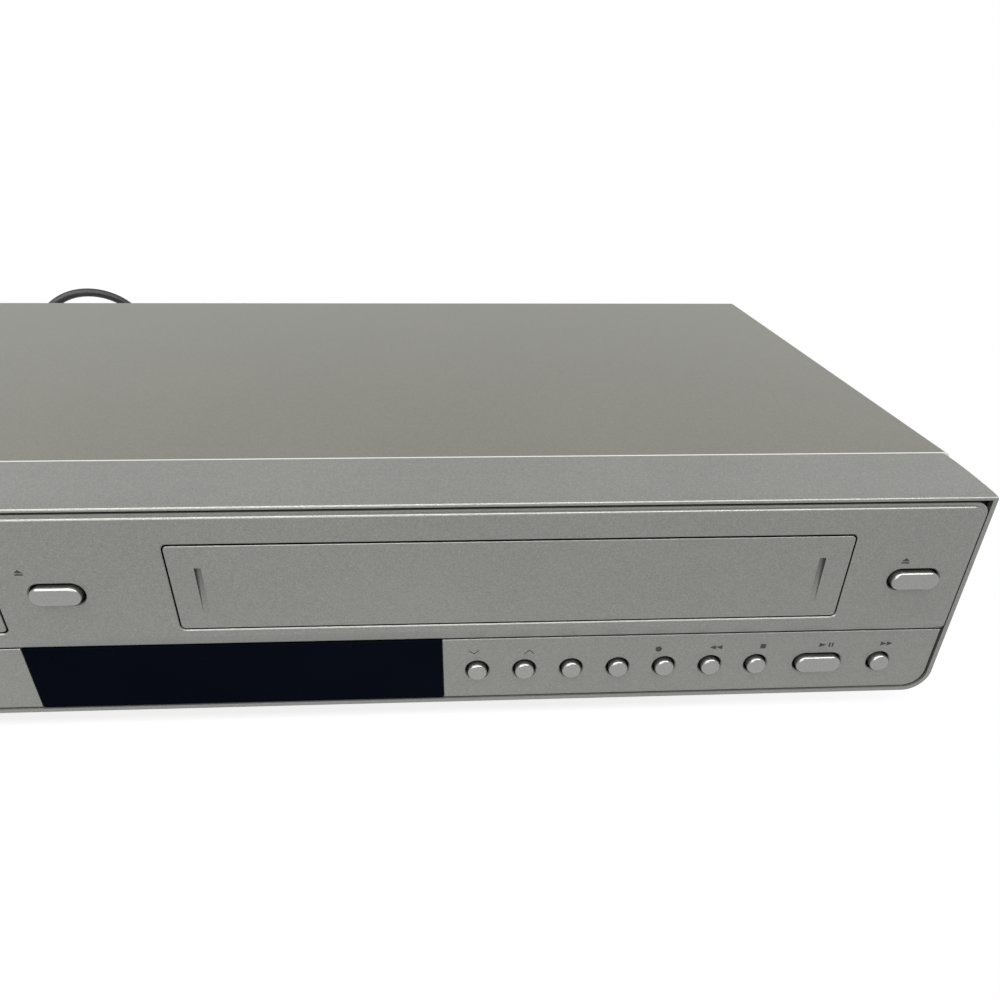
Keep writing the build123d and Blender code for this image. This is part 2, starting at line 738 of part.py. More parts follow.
def cassette_flap():
    """The cassette door, hung on two pins near its top edge, with two finger grooves."""
    x0, x1 = DOOR_X0 + DOOR_GAP, DOOR_X1 - DOOR_GAP
    low, high = DOOR_BOTTOM + DOOR_GAP, DOOR_TOP - DOOR_GAP
    outline = rounded(x0, x1, low, high, DOOR_CORNER_R - DOOR_GAP)
    body = plate(outline, FLAP_SETBACK, FLAP_SETBACK + FLAP_T)
    body = fillet(body.faces().sort_by(Axis.Y)[0].edges(), DOOR_GAP / 2)
    middle = (low + high) / 2 - FLAP_SLOT_DROP
    for x in (x0 + FLAP_SLOT_INSET, x1 - FLAP_SLOT_INSET):
        top, foot = middle + FLAP_SLOT_H / 2, middle - FLAP_SLOT_H / 2
        ramp = [
            (FLAP_SETBACK - PAST, top),
            (FLAP_SETBACK + FLAP_SLOT_DEEP, top),
            (FLAP_SETBACK, foot),
            (FLAP_SETBACK - PAST, foot),
        ]
        side = FLAP_SLOT_W / 2
        body -= side_profile(ramp) & block(x - side, x + side, -PAST, SEAT_D, foot, top)
    rear = FLAP_SETBACK + FLAP_T
    reach = FLAP_AXIS_D + FLAP_PIN_R
    for end, way, longer in ((x0, 1, SPRING_L + SIT), (x1, -1, 0)):
        a, b = sorted((end, end + way * FLAP_LUG_W))
        body += block(a, b, rear, reach, DOOR_TOP - 3 * FLAP_PIN_R, high)
        body += block(a, b, FLAP_AXIS_D - FLAP_PIN_R, reach, high, FLAP_AXIS_H + FLAP_PIN_R)
        c, d = sorted((end, end - way * (DOOR_GAP + SIT + FLAP_LUG_W + longer)))
        body += cross_pin(c, d, FLAP_AXIS_D, FLAP_AXIS_H, FLAP_PIN_R)
    return body


def flap_spring():
    """The flap's return spring: a sleeve of wire round the left pin, with a leg each way."""
    x1 = DOOR_X0 - FLAP_LUG_W - 2 * SIT
    x0 = x1 - SPRING_L
    half = SPRING_WIRE / 2
    inner = FLAP_PIN_R + RUN
    sleeve = cross_pin(x0, x1, FLAP_AXIS_D, FLAP_AXIS_H, inner + SPRING_WIRE)
    leg_d = FLAP_AXIS_D + inner + half
    foot, tip = FLAP_AXIS_H - SPRING_LEG_DOWN, FLAP_AXIS_H + SPRING_LEG_UP
    low_leg = block(x0, x0 + SPRING_WIRE, leg_d - half, leg_d + half, foot, FLAP_AXIS_H)
    high_leg = block(x1 - SPRING_WIRE, x1, leg_d - half, leg_d + half, FLAP_AXIS_H, tip)
    bore = cross_pin(x0 - PAST, x1 + PAST, FLAP_AXIS_D, FLAP_AXIS_H, inner)
    return sleeve + low_leg + high_leg - bore


# ---- casing ----
def top_cover():
    """The sheet cover: a top and two sides, bent round a small radius, with side vents."""
    half = WIDTH / 2 - COVER_INSET
    outer = Pos(0, BODY_H / 2) * Rectangle(2 * half, BODY_H)
    outer = fillet(outer.vertices().group_by(Axis.Y)[-1], COVER_BEND_R)
    inner = Pos(0, (BODY_H - SHEET) / 2 - PAST) * Rectangle(2 * (half - SHEET), BODY_H - SHEET + 2 * PAST)
    inner = fillet(inner.vertices().group_by(Axis.Y)[-1], COVER_BEND_R - SHEET)
    shell = plate(outer - inner, BEZEL_D, BODY_D)
    shell -= block(-half - PAST, half + PAST, BEZEL_D - PAST, BODY_D + PAST, -PAST, COVER_HEM)
    for number in range(VENT_COUNT):
        d = VENT_D + (number - (VENT_COUNT - 1) / 2) * VENT_PITCH
        low, high = VENT_MID_H - VENT_H / 2, VENT_MID_H + VENT_H / 2
        shell -= block(-half - PAST, half + PAST, d - VENT_W / 2, d + VENT_W / 2, low, high)
    for d in SIDE_SCREW_D:
        shell -= cross_pin(-half - PAST, half + PAST, d, SIDE_SCREW_H, SHANK_R + RUN)
    return shell


def bottom_chassis():
    """The sheet chassis: a floor with flanges turned up on all four sides and standoffs."""
    half = WIDTH / 2 - COVER_INSET - SHEET - RUN
    d0, d1 = BEZEL_D + RUN, REAR_D - SHEET
    inside, tall = half - CHASSIS_T, CHASSIS_FLANGE + PAST
    floor = block(-half, half, d0, d1, 0, CHASSIS_FLANGE)
    floor -= block(-inside, inside, d0 + CHASSIS_T, d1 - CHASSIS_T, CHASSIS_T, tall)
    floor -= block(-inside, inside, d1 - 2 * CHASSIS_T, d1 + PAST, REAR_FLANGE, tall)
    for side in (-1, 1):
        a, b = sorted((side * inside, side * half))
        for d in SIDE_SCREW_D:
            floor += block(a, b, d - 2 * HEAD_R, d + 2 * HEAD_R, 0, SIDE_SCREW_H + 2 * HEAD_R)
    for d in SIDE_SCREW_D:
        floor -= cross_pin(-WIDTH / 2, WIDTH / 2, d, SIDE_SCREW_H, SHANK_R)
    for x, d in MAIN_POSTS:
        floor += post(x, d, CHASSIS_T, MAIN_BOARD_H, POST_R)
    for x, d in POWER_POSTS:
        floor += post(x, d, CHASSIS_T, POWER_BOARD_H, POST_R)
    for x, d in DECK_POSTS:
        floor += post(x, d, CHASSIS_T, DECK_TOP - DECK_T, POST_R)
    for x, d in LOADER_POSTS:
        floor += post(x, d, CHASSIS_T, LOADER_BOTTOM, POST_R)
    return floor


def rear_panel():
    """The sheet rear panel with holes for the sockets, the power cord and its screws."""
    half = WIDTH / 2 - COVER_INSET - SHEET - RUN
    top = BODY_H - SHEET - RUN
    outline = Pos(0, (top + CHASSIS_T) / 2) * Rectangle(2 * half, top - CHASSIS_T)
    outline = fillet(outline.vertices().group_by(Axis.Y)[-1], COVER_BEND_R)
    body = plate(outline, REAR_D - SHEET, REAR_D)
    near, far = REAR_D - SHEET - PAST, REAR_D + PAST
    for x in RCA_COLUMNS:
        for h in RCA_ROWS:
            body -= rod(x, h, near, far, RCA_R + SHOULDER + SIT)
    body -= rod(SVIDEO_X, RCA_ROWS[-1], near, far, SVIDEO_R + SIT)
    for h in F_SOCKET_H:
        body -= rod(F_SOCKET_X, h, near, far, F_SOCKET_R + SHOULDER + SIT)
    body -= rod(CORD_X, CORD_EXIT_H, near, far, RELIEF_NECK_R + RUN)
    for x in REAR_SCREW_X:
        body -= rod(x, REAR_SCREW_H, near, far, SHANK_R + RUN)
    for number in range(VENT_COUNT):
        x = REAR_VENT_X + (number - (VENT_COUNT - 1) / 2) * VENT_PITCH
        low, high = VENT_MID_H - REAR_VENT_H / 2, VENT_MID_H + REAR_VENT_H / 2
        body -= block(x - VENT_W / 2, x + VENT_W / 2, near, far, low, high)
    return body


def feet():
    """Four round feet that taper downwards, each with a recess for its screw."""
    solids = []
    for x in (-FOOT_X, FOOT_X):
        for d in (FOOT_D0, FOOT_D1):
            foot = Pos(x, back(d), FOOT_H / 2) * Cone(FOOT_R - FOOT_TAPER, FOOT_R, FOOT_H)
            recess = Pos(x, back(d), FOOT_RECESS / 2) * Cylinder(FOOT_RECESS_R, FOOT_RECESS)
            solids.append(foot - recess)
    return group(solids)


def screw(place):
    """A screw with a rounded head and a cross recess, seated at the origin of its place."""
    head = Pos(0, 0, HEAD_H / 2) * Cylinder(HEAD_R, HEAD_H)
    head = fillet(head.faces().sort_by(Axis.Z)[-1].edges(), HEAD_H / 2)
    for long, wide in ((RECESS_L, RECESS_W), (RECESS_W, RECESS_L)):
        head -= Pos(0, 0, HEAD_H) * Box(long, wide, 2 * RECESS_DEEP)
    return place * (head + Pos(0, 0, -SHANK_L / 2) * Cylinder(SHANK_R, SHANK_L))


def case_screws():
    """Flat-headed screws in the cover's sides and along the top of the rear panel."""
    half = WIDTH / 2 - COVER_INSET
    solids = []
    for d in SIDE_SCREW_D:
        for side in (-1, 1):
            solids.append(screw(Pos(side * half, back(d), up(SIDE_SCREW_H)) * Rot(0, side * 90, 0)))
    for x in REAR_SCREW_X:
        solids.append(screw(Pos(x, back(REAR_D), up(REAR_SCREW_H)) * Rot(-90, 0, 0)))
    return group(solids)


# ---- front board and sockets ----
def front_board():
    """The board behind the front, with a switch behind each key and the display module."""
    edge, side = WIDTH / 2 - BOARD_EDGE, RISER_W / 2
    board_back = FRONT_BOARD_D + BOARD_T
    outline = block(-edge, edge, FRONT_BOARD_D, board_back, FRONT_BOARD_BOTTOM, FRONT_BOARD_TOP)
    riser_top = HIGH_ROW_H + SWITCH_W
    for x in (OPEN_X, EJECT_X):
        outline += block(x - side, x + side, FRONT_BOARD_D, board_back, FRONT_BOARD_BOTTOM, riser_top)
    solids = [outline]
    for x, h, face, oval in KEYS.values():
        half = SWITCH_W / 2
        case_d = FRONT_BOARD_D - SWITCH_T + SWITCH_CAP_H
        switch = block(x - half, x + half, case_d, FRONT_BOARD_D, h - half, h + half)
        solids.append(switch + rod(x, h, case_d - SWITCH_CAP_H, case_d, SWITCH_CAP_R))
    x0 = (WINDOW_X0 + WINDOW_X1 - TUBE_W) / 2
    top = STRIP_TOP - TUBE_DROP
    tube = block(x0, x0 + TUBE_W, WEB_BACK + PAST, FRONT_BOARD_D, TUBE_BOTTOM, top)
    for x, h in BOARD_POSTS:
        tube -= rod(x, h, WEB_BACK, FRONT_BOARD_D + PAST, POST_R)
    solids.append(tube)
    return group(solids)


def front_av_sockets():
    """Three round sockets in coloured collars behind the lower left panel."""
    solids = []
    for x, h in JACK_HOLES:
        collar = rod(x, h, LOWER_SETBACK - SIT, WEB_BACK, RCA_COLLAR_R)
        collar -= rod(x, h, 0, WEB_BACK + PAST, RCA_R)
        barrel = rod(x, h, LOWER_SETBACK - SIT, FRONT_BOARD_D, RCA_R)
        barrel -= rod(x, h, 0, FRONT_BOARD_D - FRONT_RCA_FLOOR, RCA_BORE_R)
        solids += [collar, barrel]
    return group(solids)


def rear_sockets():
    """The rear socket block: rows of barrels, each with its bore, and one round data socket."""
    x0, x1 = RCA_COLUMNS[0] - SOCKET_MARGIN, SVIDEO_X + SOCKET_MARGIN
    top = RCA_ROWS[-1] + SOCKET_MARGIN
    housing_d = REAR_D - SHEET - SOCKET_BLOCK_D
    housing = block(x0, x1, housing_d, REAR_D - SHEET, MAIN_BOARD_H + BOARD_T, top)
    end = BODY_D + SOCKET_PROUD
    for x in RCA_COLUMNS:
        for h in RCA_ROWS:
            housing += rod(x, h, REAR_D - SHEET, REAR_D + SIT, RCA_R + SHOULDER)
            housing += rod(x, h, REAR_D, end, RCA_R)
            housing -= rod(x, h, REAR_D - SHEET, end + PAST, RCA_BORE_R)
    shell_end = REAR_D + SVIDEO_PROUD
    housing += rod(SVIDEO_X, RCA_ROWS[-1], REAR_D - SHEET, shell_end, SVIDEO_R)
    housing -= rod(SVIDEO_X, RCA_ROWS[-1], REAR_D, shell_end + PAST, SVIDEO_R - SVIDEO_WALL)
    return housing


def tuner_module():
    """The tuner can with two threaded aerial sockets through the rear panel."""
    low = MAIN_BOARD_H + BOARD_T
    body = block(TUNER_X0, TUNER_X1, TUNER_D0, REAR_D - SHEET, low, TUNER_TOP)
    end = BODY_D + SOCKET_PROUD
    for h in F_SOCKET_H:
        body += rod(F_SOCKET_X, h, REAR_D - SHEET, REAR_D + SIT, F_SOCKET_R + SHOULDER)
        body += rod(F_SOCKET_X, h, REAR_D, end, F_SOCKET_R)
        body -= rod(F_SOCKET_X, h, REAR_D, end + PAST, F_BORE_R)
    return body


def main_board():
    """The main board with its chips, carried on standoffs under the tape deck."""
    board = block(MAIN_X0, MAIN_X1, MAIN_D0, MAIN_D1, MAIN_BOARD_H, MAIN_BOARD_H + BOARD_T)
    for x, d in DECK_POSTS:
        board -= post(x, d, 0, DECK_TOP, POST_R + PAST)
    solids = [board]
    top = MAIN_BOARD_H + BOARD_T
    for x, d, w in CHIPS:
        solids.append(block(x - w / 2, x + w / 2, d - w / 2, d + w / 2, top, top + CHIP_T))
    return group(solids)


def power_board():
    """The supply board with its transformer, capacitors, heat sink and fuse."""
    top = POWER_BOARD_H + BOARD_T
    solids = [block(POWER_X0, POWER_X1, POWER_D0, POWER_D1, POWER_BOARD_H, top)]
    for x0, x1, d0, d1, tall in (TRANSFORMER, HEAT_SINK, FUSE):
        solids.append(block(x0, x1, d0, d1, top, top + tall))
    for x, d, tall, r in CAPACITORS:
        solids.append(post(x, d, top, top + tall, r))
    return group(solids)


# ---- disc loader ----
def loader_frame():
    """A U-shaped frame with guide lips for the tray, a front cross bar and a rear wall."""
    x0, x1 = LOADER_X - LOADER_W / 2, LOADER_X + LOADER_W / 2
    inner_d1 = LOADER_D1 - LOADER_WALL
    lip_top = TRAY_BOTTOM - SIT
    body = block(x0, x1, inner_d1, LOADER_D1, LOADER_BOTTOM, LOADER_TOP)
    for wall, lip in ((x0, x0 + LOADER_WALL), (x1 - LOADER_WALL, x1 - LOADER_WALL - LIP_W)):
        body += block(wall, wall + LOADER_WALL, LOADER_D0, LOADER_D1, LOADER_BOTTOM, LOADER_TOP)
        body += block(lip, lip + LIP_W, LOADER_D0, inner_d1, lip_top - LIP_H, lip_top)
    bar_top = LOADER_BOTTOM + CROSS_BAR_H
    body += block(x0, x1, LOADER_D0, LOADER_D0 + CROSS_BAR, LOADER_BOTTOM, bar_top)
    gear_x = LOADER_X - GEAR_OFFSET
    body += post(gear_x, GEAR_D, bar_top, TRAY_BOTTOM - SIT, GEAR_PIN_R)
    body -= post(LOADER_X - LOADER_MOTOR_X, GEAR_D, 0, bar_top + PAST, MOTOR_R)
    pivot_d = SLED_D1 - SLED_PIVOT_BACK
    pivot_h = SLED_PLATE_TOP - SLED_PLATE_T / 2
    for side in (-1, 1):
        outer = LOADER_X + side * (LOADER_W / 2 - LOADER_WALL)
        inner = LOADER_X + side * (SLED_PLATE_W / 2 + SIT)
        a, b = sorted((outer, inner))
        tall = 2 * SLED_PIVOT_R
        body += block(a, b, pivot_d - tall, pivot_d + tall, LOADER_BOTTOM, pivot_h + tall)
        body -= cross_pin(a, b, pivot_d, pivot_h, SLED_PIVOT_R + RUN)
    return body


def tray_x(side):
    """X of the tray's left or right edge."""
    return LOADER_X + side * TRAY_W / 2


def disc_tray():
    """The tray: two round recesses, a slot for the turntable and a rack below its left edge."""
    d0 = TRAY_FRONT_T + SIT
    body = block(tray_x(-1), tray_x(1), d0, TRAY_END, TRAY_BOTTOM, TRAY_TOP)
    body -= post(LOADER_X, DISC_D, DISC_FLOOR, TRAY_TOP + PAST, DISC_R + DISC_ROOM)
    body -= post(LOADER_X, DISC_D, SMALL_FLOOR, TRAY_TOP, SMALL_DISC_R + DISC_ROOM)
    half = TRAY_SLOT_W / 2
    body -= block(LOADER_X - half, LOADER_X + half, DISC_D, TRAY_END - TRAY_REAR_EDGE, 0, BODY_H)
    body -= post(LOADER_X, DISC_D, 0, BODY_H, half)
    body += rack(d0 + RACK_START, RACK_END)
    return body


def rack(d0, d1):
    """Straight teeth that face right, in step with the gear's teeth."""
    pitch = math.pi * GEAR_MODULE
    line_x = LOADER_X - GEAR_OFFSET - GEAR_R
    low, high = TRAY_BOTTOM - GEAR_FACE, TRAY_BOTTOM
    root, tip = line_x - DEDENDUM * GEAR_MODULE, line_x + ADDENDUM * GEAR_MODULE
    foot, crest = TOOTH_FOOT * pitch, RACK_CREST * pitch
    first = math.ceil((d0 - GEAR_D) / pitch + 0.5)
    last = math.floor((d1 - GEAR_D) / pitch - 0.5)
    points = [(root - RACK_BACK, back(d0)), (root, back(d0))]
    for number in range(first, last):
        y = back(GEAR_D + (number + 0.5) * pitch)
        points += [(root, y - foot), (tip, y - crest), (tip, y + crest), (root, y + foot)]
    points += [(root, back(d1)), (root - RACK_BACK, back(d1))]
    face = make_face(Polyline(*points, close=True))
    return Pos(0, 0, up(low)) * extrude(face, amount=high - low)


def tray_front():
    """The tray's front, flush with the fascia."""
    outline = rounded(
        TRAY_GAP_X0 + DOOR_GAP,
        TRAY_GAP_X1 - DOOR_GAP,
        TRAY_GAP_BOTTOM + DOOR_GAP,
        TRAY_GAP_TOP - DOOR_GAP,
        DOOR_CORNER_R - DOOR_GAP,
    )
    body = plate(outline, 0, TRAY_FRONT_T + SIT)
    return fillet(body.faces().sort_by(Axis.Y)[0].edges(), DOOR_GAP)


def tray_gear():
    """The gear that drives the tray's rack, with its belt pulley below."""
    x = LOADER_X - GEAR_OFFSET
    root, tip = GEAR_R - DEDENDUM * GEAR_MODULE, GEAR_R + ADDENDUM * GEAR_MODULE
    foot, crest = TOOTH_FOOT * math.pi * GEAR_MODULE, GEAR_CREST * math.pi * GEAR_MODULE
    sunk = root - TOOTH_SUNK
    tooth = make_face(Polyline((sunk, -foot), (tip, -crest), (tip, crest), (sunk, foot), close=True))
    outline = Circle(root)
    for number in range(GEAR_TEETH):
        outline += Rot(0, 0, 360 / GEAR_TEETH * number) * tooth
    top = TRAY_BOTTOM - SIT
    teeth = Pos(x, back(GEAR_D), up(top - GEAR_FACE)) * extrude(outline, amount=GEAR_FACE)
    pulley_top = top - GEAR_FACE
    bottom = LOADER_BOTTOM + CROSS_BAR_H + SIT
    pulley = post(x, GEAR_D, bottom, pulley_top, root - HUB_STEP)
    pulley += post(x, GEAR_D, bottom, bottom + PULLEY_H, PULLEY_R)
    return teeth + pulley - post(x, GEAR_D, bottom - PAST, top + PAST, GEAR_PIN_R + RUN)


def loader_motor():
    """The small motor that drives the tray, with the pulley on its shaft."""
    x = LOADER_X - LOADER_MOTOR_X
    top = LOADER_BOTTOM + CROSS_BAR_H
    bottom = top - LOADER_MOTOR_L
    can = post(x, GEAR_D, bottom, top, MOTOR_R)
    return can + post(x, GEAR_D, top, top + SIT + PULLEY_H, MOTOR_PULLEY_R)


def loader_belt():
    """The square belt that joins the motor's pulley and the gear's."""
    ax, bx = LOADER_X - GEAR_OFFSET, LOADER_X - LOADER_MOTOR_X
    low = LOADER_BOTTOM + CROSS_BAR_H + 2 * SIT
    loops = []
    for grow in (RUN + BELT_T, RUN):
        big = Pos(ax, back(GEAR_D)) * Circle(PULLEY_R + grow)
        small = Pos(bx, back(GEAR_D)) * Circle(MOTOR_PULLEY_R + grow)
        loops.append(make_hull(big.edges() + small.edges()))
    outer, inner = loops
    return Pos(0, 0, up(low)) * extrude(outer - inner, amount=BELT_H)


def sled_base():
    """The traverse deck: a plate with a window for the pickup, on two pivot pins at its rear."""
    x0, x1 = LOADER_X - SLED_PLATE_W / 2, LOADER_X + SLED_PLATE_W / 2
    bottom = SLED_PLATE_TOP - SLED_PLATE_T
    body = block(x0, x1, SLED_D0, SLED_D1, bottom, SLED_PLATE_TOP)
    wx0, wx1 = LOADER_X + SLED_WINDOW_X0, LOADER_X + SLED_WINDOW_X1
    body -= block(wx0, wx1, SLED_WINDOW_D0, SLED_WINDOW_D1, 0, BODY_H)
    for d in (SLED_WINDOW_D0, SLED_WINDOW_D1 - ROD_BLOCK):
        body += block(wx0, wx1, d, d + ROD_BLOCK, ROD_H - ROD_BLOCK_DROP, SLED_PLATE_TOP)
    for x in (-ROD_X, ROD_X):
        body -= rod(LOADER_X + x, ROD_H, SLED_WINDOW_D0 - PAST, SLED_WINDOW_D1 + PAST, ROD_R)
    body -= rod(LOADER_X + SCREW_X, ROD_H, SLED_WINDOW_D0, SLED_WINDOW_D1, ROD_R + RUN)
    body -= post(LOADER_X, DISC_D, 0, BODY_H, SPINDLE_R + SPINDLE_ROOM)
    pivot_d = SLED_D1 - SLED_PIVOT_BACK
    pivot_h = SLED_PLATE_TOP - SLED_PLATE_T / 2
    for side in (-1, 1):
        near = LOADER_X + side * (SLED_PLATE_W / 2 - SLED_PIVOT_IN)
        far = LOADER_X + side * (SLED_PLATE_W / 2 + SIT + SLED_PIVOT_OUT)
        a, b = sorted((near, far))
        body += cross_pin(a, b, pivot_d, pivot_h, SLED_PIVOT_R)
    return body


def spindle_motor():
    """The flat motor can under the turntable, fixed to the traverse deck."""
    top = SLED_PLATE_TOP - SLED_PLATE_T
    bottom = top - SPINDLE_CAN_H
    can = post(LOADER_X, DISC_D, bottom, top, SPINDLE_CAN_R)
    return can - post(LOADER_X, DISC_D, bottom + SPINDLE_CAN_WALL, top + PAST, SPINDLE_R + RUN)


def turntable():
    """The turntable with its centring cone and its shaft in the motor."""
    shaft_low = SLED_PLATE_TOP - SLED_PLATE_T - SPINDLE_CAN_H + SPINDLE_CAN_WALL + RUN
    body = post(LOADER_X, DISC_D, shaft_low, PLATTER_TOP, SPINDLE_R)
    body += post(LOADER_X, DISC_D, SLED_PLATE_TOP + SIT, PLATTER_TOP, PLATTER_HUB_R)
    body += post(LOADER_X, DISC_D, PLATTER_TOP - PLATTER_T, PLATTER_TOP, PLATTER_R)
    cone = Cone(CONE_R, CONE_R - CONE_TAPER, CONE_H)
    return body + Pos(LOADER_X, back(DISC_D), up(PLATTER_TOP + CONE_H / 2)) * cone


def pickup_sled():
    """The laser pickup: a block on two rods with its lens, and an arm to the lead screw."""
    d0 = SLED_WINDOW_D0 + ROD_BLOCK + SIT
    d1 = d0 + PICKUP_L
    x0, x1 = LOADER_X - PICKUP_W / 2, LOADER_X + PICKUP_W / 2 - PICKUP_STEP
    body = block(x0, x1, d0, d1, PICKUP_BOTTOM, PICKUP_TOP)
    arm_d0, arm_d1 = d0 + PICKUP_ARM_INSET, d1 - PICKUP_ARM_INSET
    arm_end = LOADER_X + SCREW_X + PICKUP_NUT
    body += block(x1, arm_end, arm_d0, arm_d1, PICKUP_BOTTOM, ROD_H + PICKUP_ARM_RISE)
    for x in (-ROD_X, ROD_X, SCREW_X):
        body -= rod(LOADER_X + x, ROD_H, d0 - PAST, d1 + PAST, ROD_R + RUN)
    return body + post(LOADER_X, d0 + LENS_D, PICKUP_TOP, PICKUP_TOP + LENS_H, LENS_R)


def guide_rods():
    """The two rods that the pickup slides on."""
    return group(
        [rod(LOADER_X + x, ROD_H, SLED_WINDOW_D0, SLED_WINDOW_D1, ROD_R) for x in (-ROD_X, ROD_X)]
    )


def lead_screw():
    """The screw that moves the pickup along its rods."""
    return rod(LOADER_X + SCREW_X, ROD_H, SLED_WINDOW_D0 + RUN, SLED_WINDOW_D1 - RUN, ROD_R)


def clamp_bridge():
    """The bridge over the tray that holds the disc clamp."""
    x0, x1 = LOADER_X - LOADER_W / 2, LOADER_X + LOADER_W / 2
    d0, d1 = DISC_D - BRIDGE_D / 2, DISC_D + BRIDGE_D / 2
    body = block(x0, x1, d0, d1, LOADER_TOP, LOADER_TOP + BRIDGE_T)
    return body - post(LOADER_X, DISC_D, 0, BODY_H, CLAMP_NECK_R + SIT)


def disc_clamp():
    """The clamp that hangs loosely in the bridge and holds a disc on the turntable."""
    top = LOADER_TOP + BRIDGE_T + SIT
    body = post(LOADER_X, DISC_D, top, top + CLAMP_FLANGE, CLAMP_R)
    low = top - CLAMP_HANG
    body += post(LOADER_X, DISC_D, low, top, CLAMP_NECK_R)
    body += post(LOADER_X, DISC_D, low, LOADER_TOP - SIT - CLAMP_STEP, CLAMP_R - CLAMP_STEP)
    return body - post(LOADER_X, DISC_D, low - PAST, low + CLAMP_CUP, CONE_R + CONE_ROOM)


# ---- tape deck ----
def deck_chassis():
    """The deck plate with its bearing sleeve and the shafts that the reel tables turn on."""
    half = DECK_W / 2
    body = block(DECK_X - half, DECK_X + half, DECK_D0, DECK_D1, DECK_TOP - DECK_T, DECK_TOP)
    body += post(DECK_X + CAPSTAN_X, CAPSTAN_D, DECK_TOP, DECK_TOP + BEARING_H, BEARING_R)
    body -= post(DECK_X + CAPSTAN_X, CAPSTAN_D, 0, BODY_H, CAPSTAN_R + RUN)
    for side in (-1, 1):
        reel_x = DECK_X + side * REEL_PITCH / 2
        body += post(reel_x, REEL_D, DECK_TOP, REEL_TOP - REEL_SHAFT_DROP, REEL_SHAFT_R)
    arm_x, arm_d = arm_place()
    body += post(arm_x, arm_d, DECK_TOP, ARM_H + ARM_T + ARM_PIN_PAST, ARM_PIN_R)
    return body


def rail_x(side):
    """The inner face of a side rail."""
    return DECK_X + side * (CASSETTE_W / 2 + CASSETTE_ROOM + CARRIAGE_T + RAIL_GAP)


def carriage_pins():
    """Depths and height of the pins that ride in the rails' slots."""
    depths = (CARRIAGE_D0 + CARRIAGE_PIN_INSET, CARRIAGE_D0 + CARRIAGE_L - CARRIAGE_PIN_INSET)
    return depths, CARRIAGE_FLOOR + CASSETTE_H / 2


def carriage_rails():
    """Two side rails, each with two bent slots that guide the carriage back and down."""
    depths, h = carriage_pins()
    half = CARRIAGE_PIN_R + PIN_SLOT_PLAY
    solids = []
    for side in (-1, 1):
        inner = rail_x(side)
        a, b = sorted((inner, inner + side * RAIL_T))
        rail = block(a, b, DECK_D0 + RAIL_SETBACK, RAIL_D1, DECK_TOP, RAIL_TOP)
        for d in depths:
            end = d + CARRIAGE_TRAVEL + half
            rail -= block(a - PAST, b + PAST, d - half, end, h - half, h + half)
            rail -= block(a - PAST, b + PAST, end - 2 * half, end, h - PIN_SLOT_DROP, h + half)
        solids.append(rail)
    return group(solids)


def cassette_carriage():
    """The carriage that takes a cassette: floor, sides and two spring strips, open at both ends."""
    inner = CASSETTE_W / 2 + CASSETTE_ROOM
    outer = inner + CARRIAGE_T
    d0, d1 = CARRIAGE_D0, CARRIAGE_D0 + CARRIAGE_L
    top = CARRIAGE_FLOOR + CARRIAGE_T + CASSETTE_H + CASSETTE_ROOM
    body = block(DECK_X - outer, DECK_X + outer, d0, d1, CARRIAGE_FLOOR, top + CARRIAGE_T)
    body -= block(DECK_X - inner, DECK_X + inner, d0 - PAST, d1 + PAST, CARRIAGE_FLOOR + CARRIAGE_T, top)
    wide = CARRIAGE_OPEN_X
    body -= block(DECK_X - wide, DECK_X + wide, d0 - PAST, d1 + PAST, top - PAST, top + CARRIAGE_T + PAST)
    window_d0, window_d1 = d0 + CARRIAGE_WINDOW_EDGE, d1 - CARRIAGE_WINDOW_EDGE
    for side in (-1, 1):
        a, b = sorted((DECK_X + side * CARRIAGE_WINDOW_X0, DECK_X + side * CARRIAGE_WINDOW_X1))
        body -= block(a, b, window_d0, window_d1, 0, CARRIAGE_FLOOR + CARRIAGE_T + PAST)
    depths, h = carriage_pins()
    for side in (-1, 1):
        a, b = sorted((DECK_X + side * outer, rail_x(side) + side * (RAIL_T + CARRIAGE_PIN_PAST)))
        for d in depths:
            body += cross_pin(a, b, d, h, CARRIAGE_PIN_R)
    return body


def drum_base():
    """The fixed lower drum on its foot."""
    foot_top = DECK_TOP + DRUM_FOOT_H
    shaft_low = DECK_TOP + DRUM_SHAFT_LIFT
    body = post(DECK_X, DRUM_D, foot_top, DRUM_SPLIT, DRUM_R)
    body += post(DECK_X, DRUM_D, DECK_TOP, foot_top, DRUM_R - DRUM_FOOT_INSET)
    return body - post(DECK_X, DRUM_D, shaft_low, DRUM_SPLIT + PAST, DRUM_SHAFT_R + RUN)


def head_drum():
    """The rotating upper drum with its shaft and the head windows round its lower edge."""
    low = DRUM_SPLIT + DRUM_GAP
    body = post(DECK_X, DRUM_D, low, DRUM_TOP, DRUM_R)
    dish = DRUM_TOP - DRUM_DISH
    body -= post(DECK_X, DRUM_D, dish, DRUM_TOP + PAST, DRUM_R - DRUM_RIM)
    body += post(DECK_X, DRUM_D, dish, DRUM_TOP - DRUM_HUB_DROP, DRUM_HUB_R)
    window = Pos(DRUM_R, 0, 0) * Box(HEAD_WINDOW_DEEP, HEAD_WINDOW_W, HEAD_WINDOW_W)
    for number in range(HEAD_COUNT):
        turn = Rot(0, 0, 360 / HEAD_COUNT * (number + 0.5))
        body -= Pos(DECK_X, back(DRUM_D), up(low)) * turn * window
    return body + post(DECK_X, DRUM_D, DECK_TOP + DRUM_SHAFT_LIFT + RUN, low, DRUM_SHAFT_R)


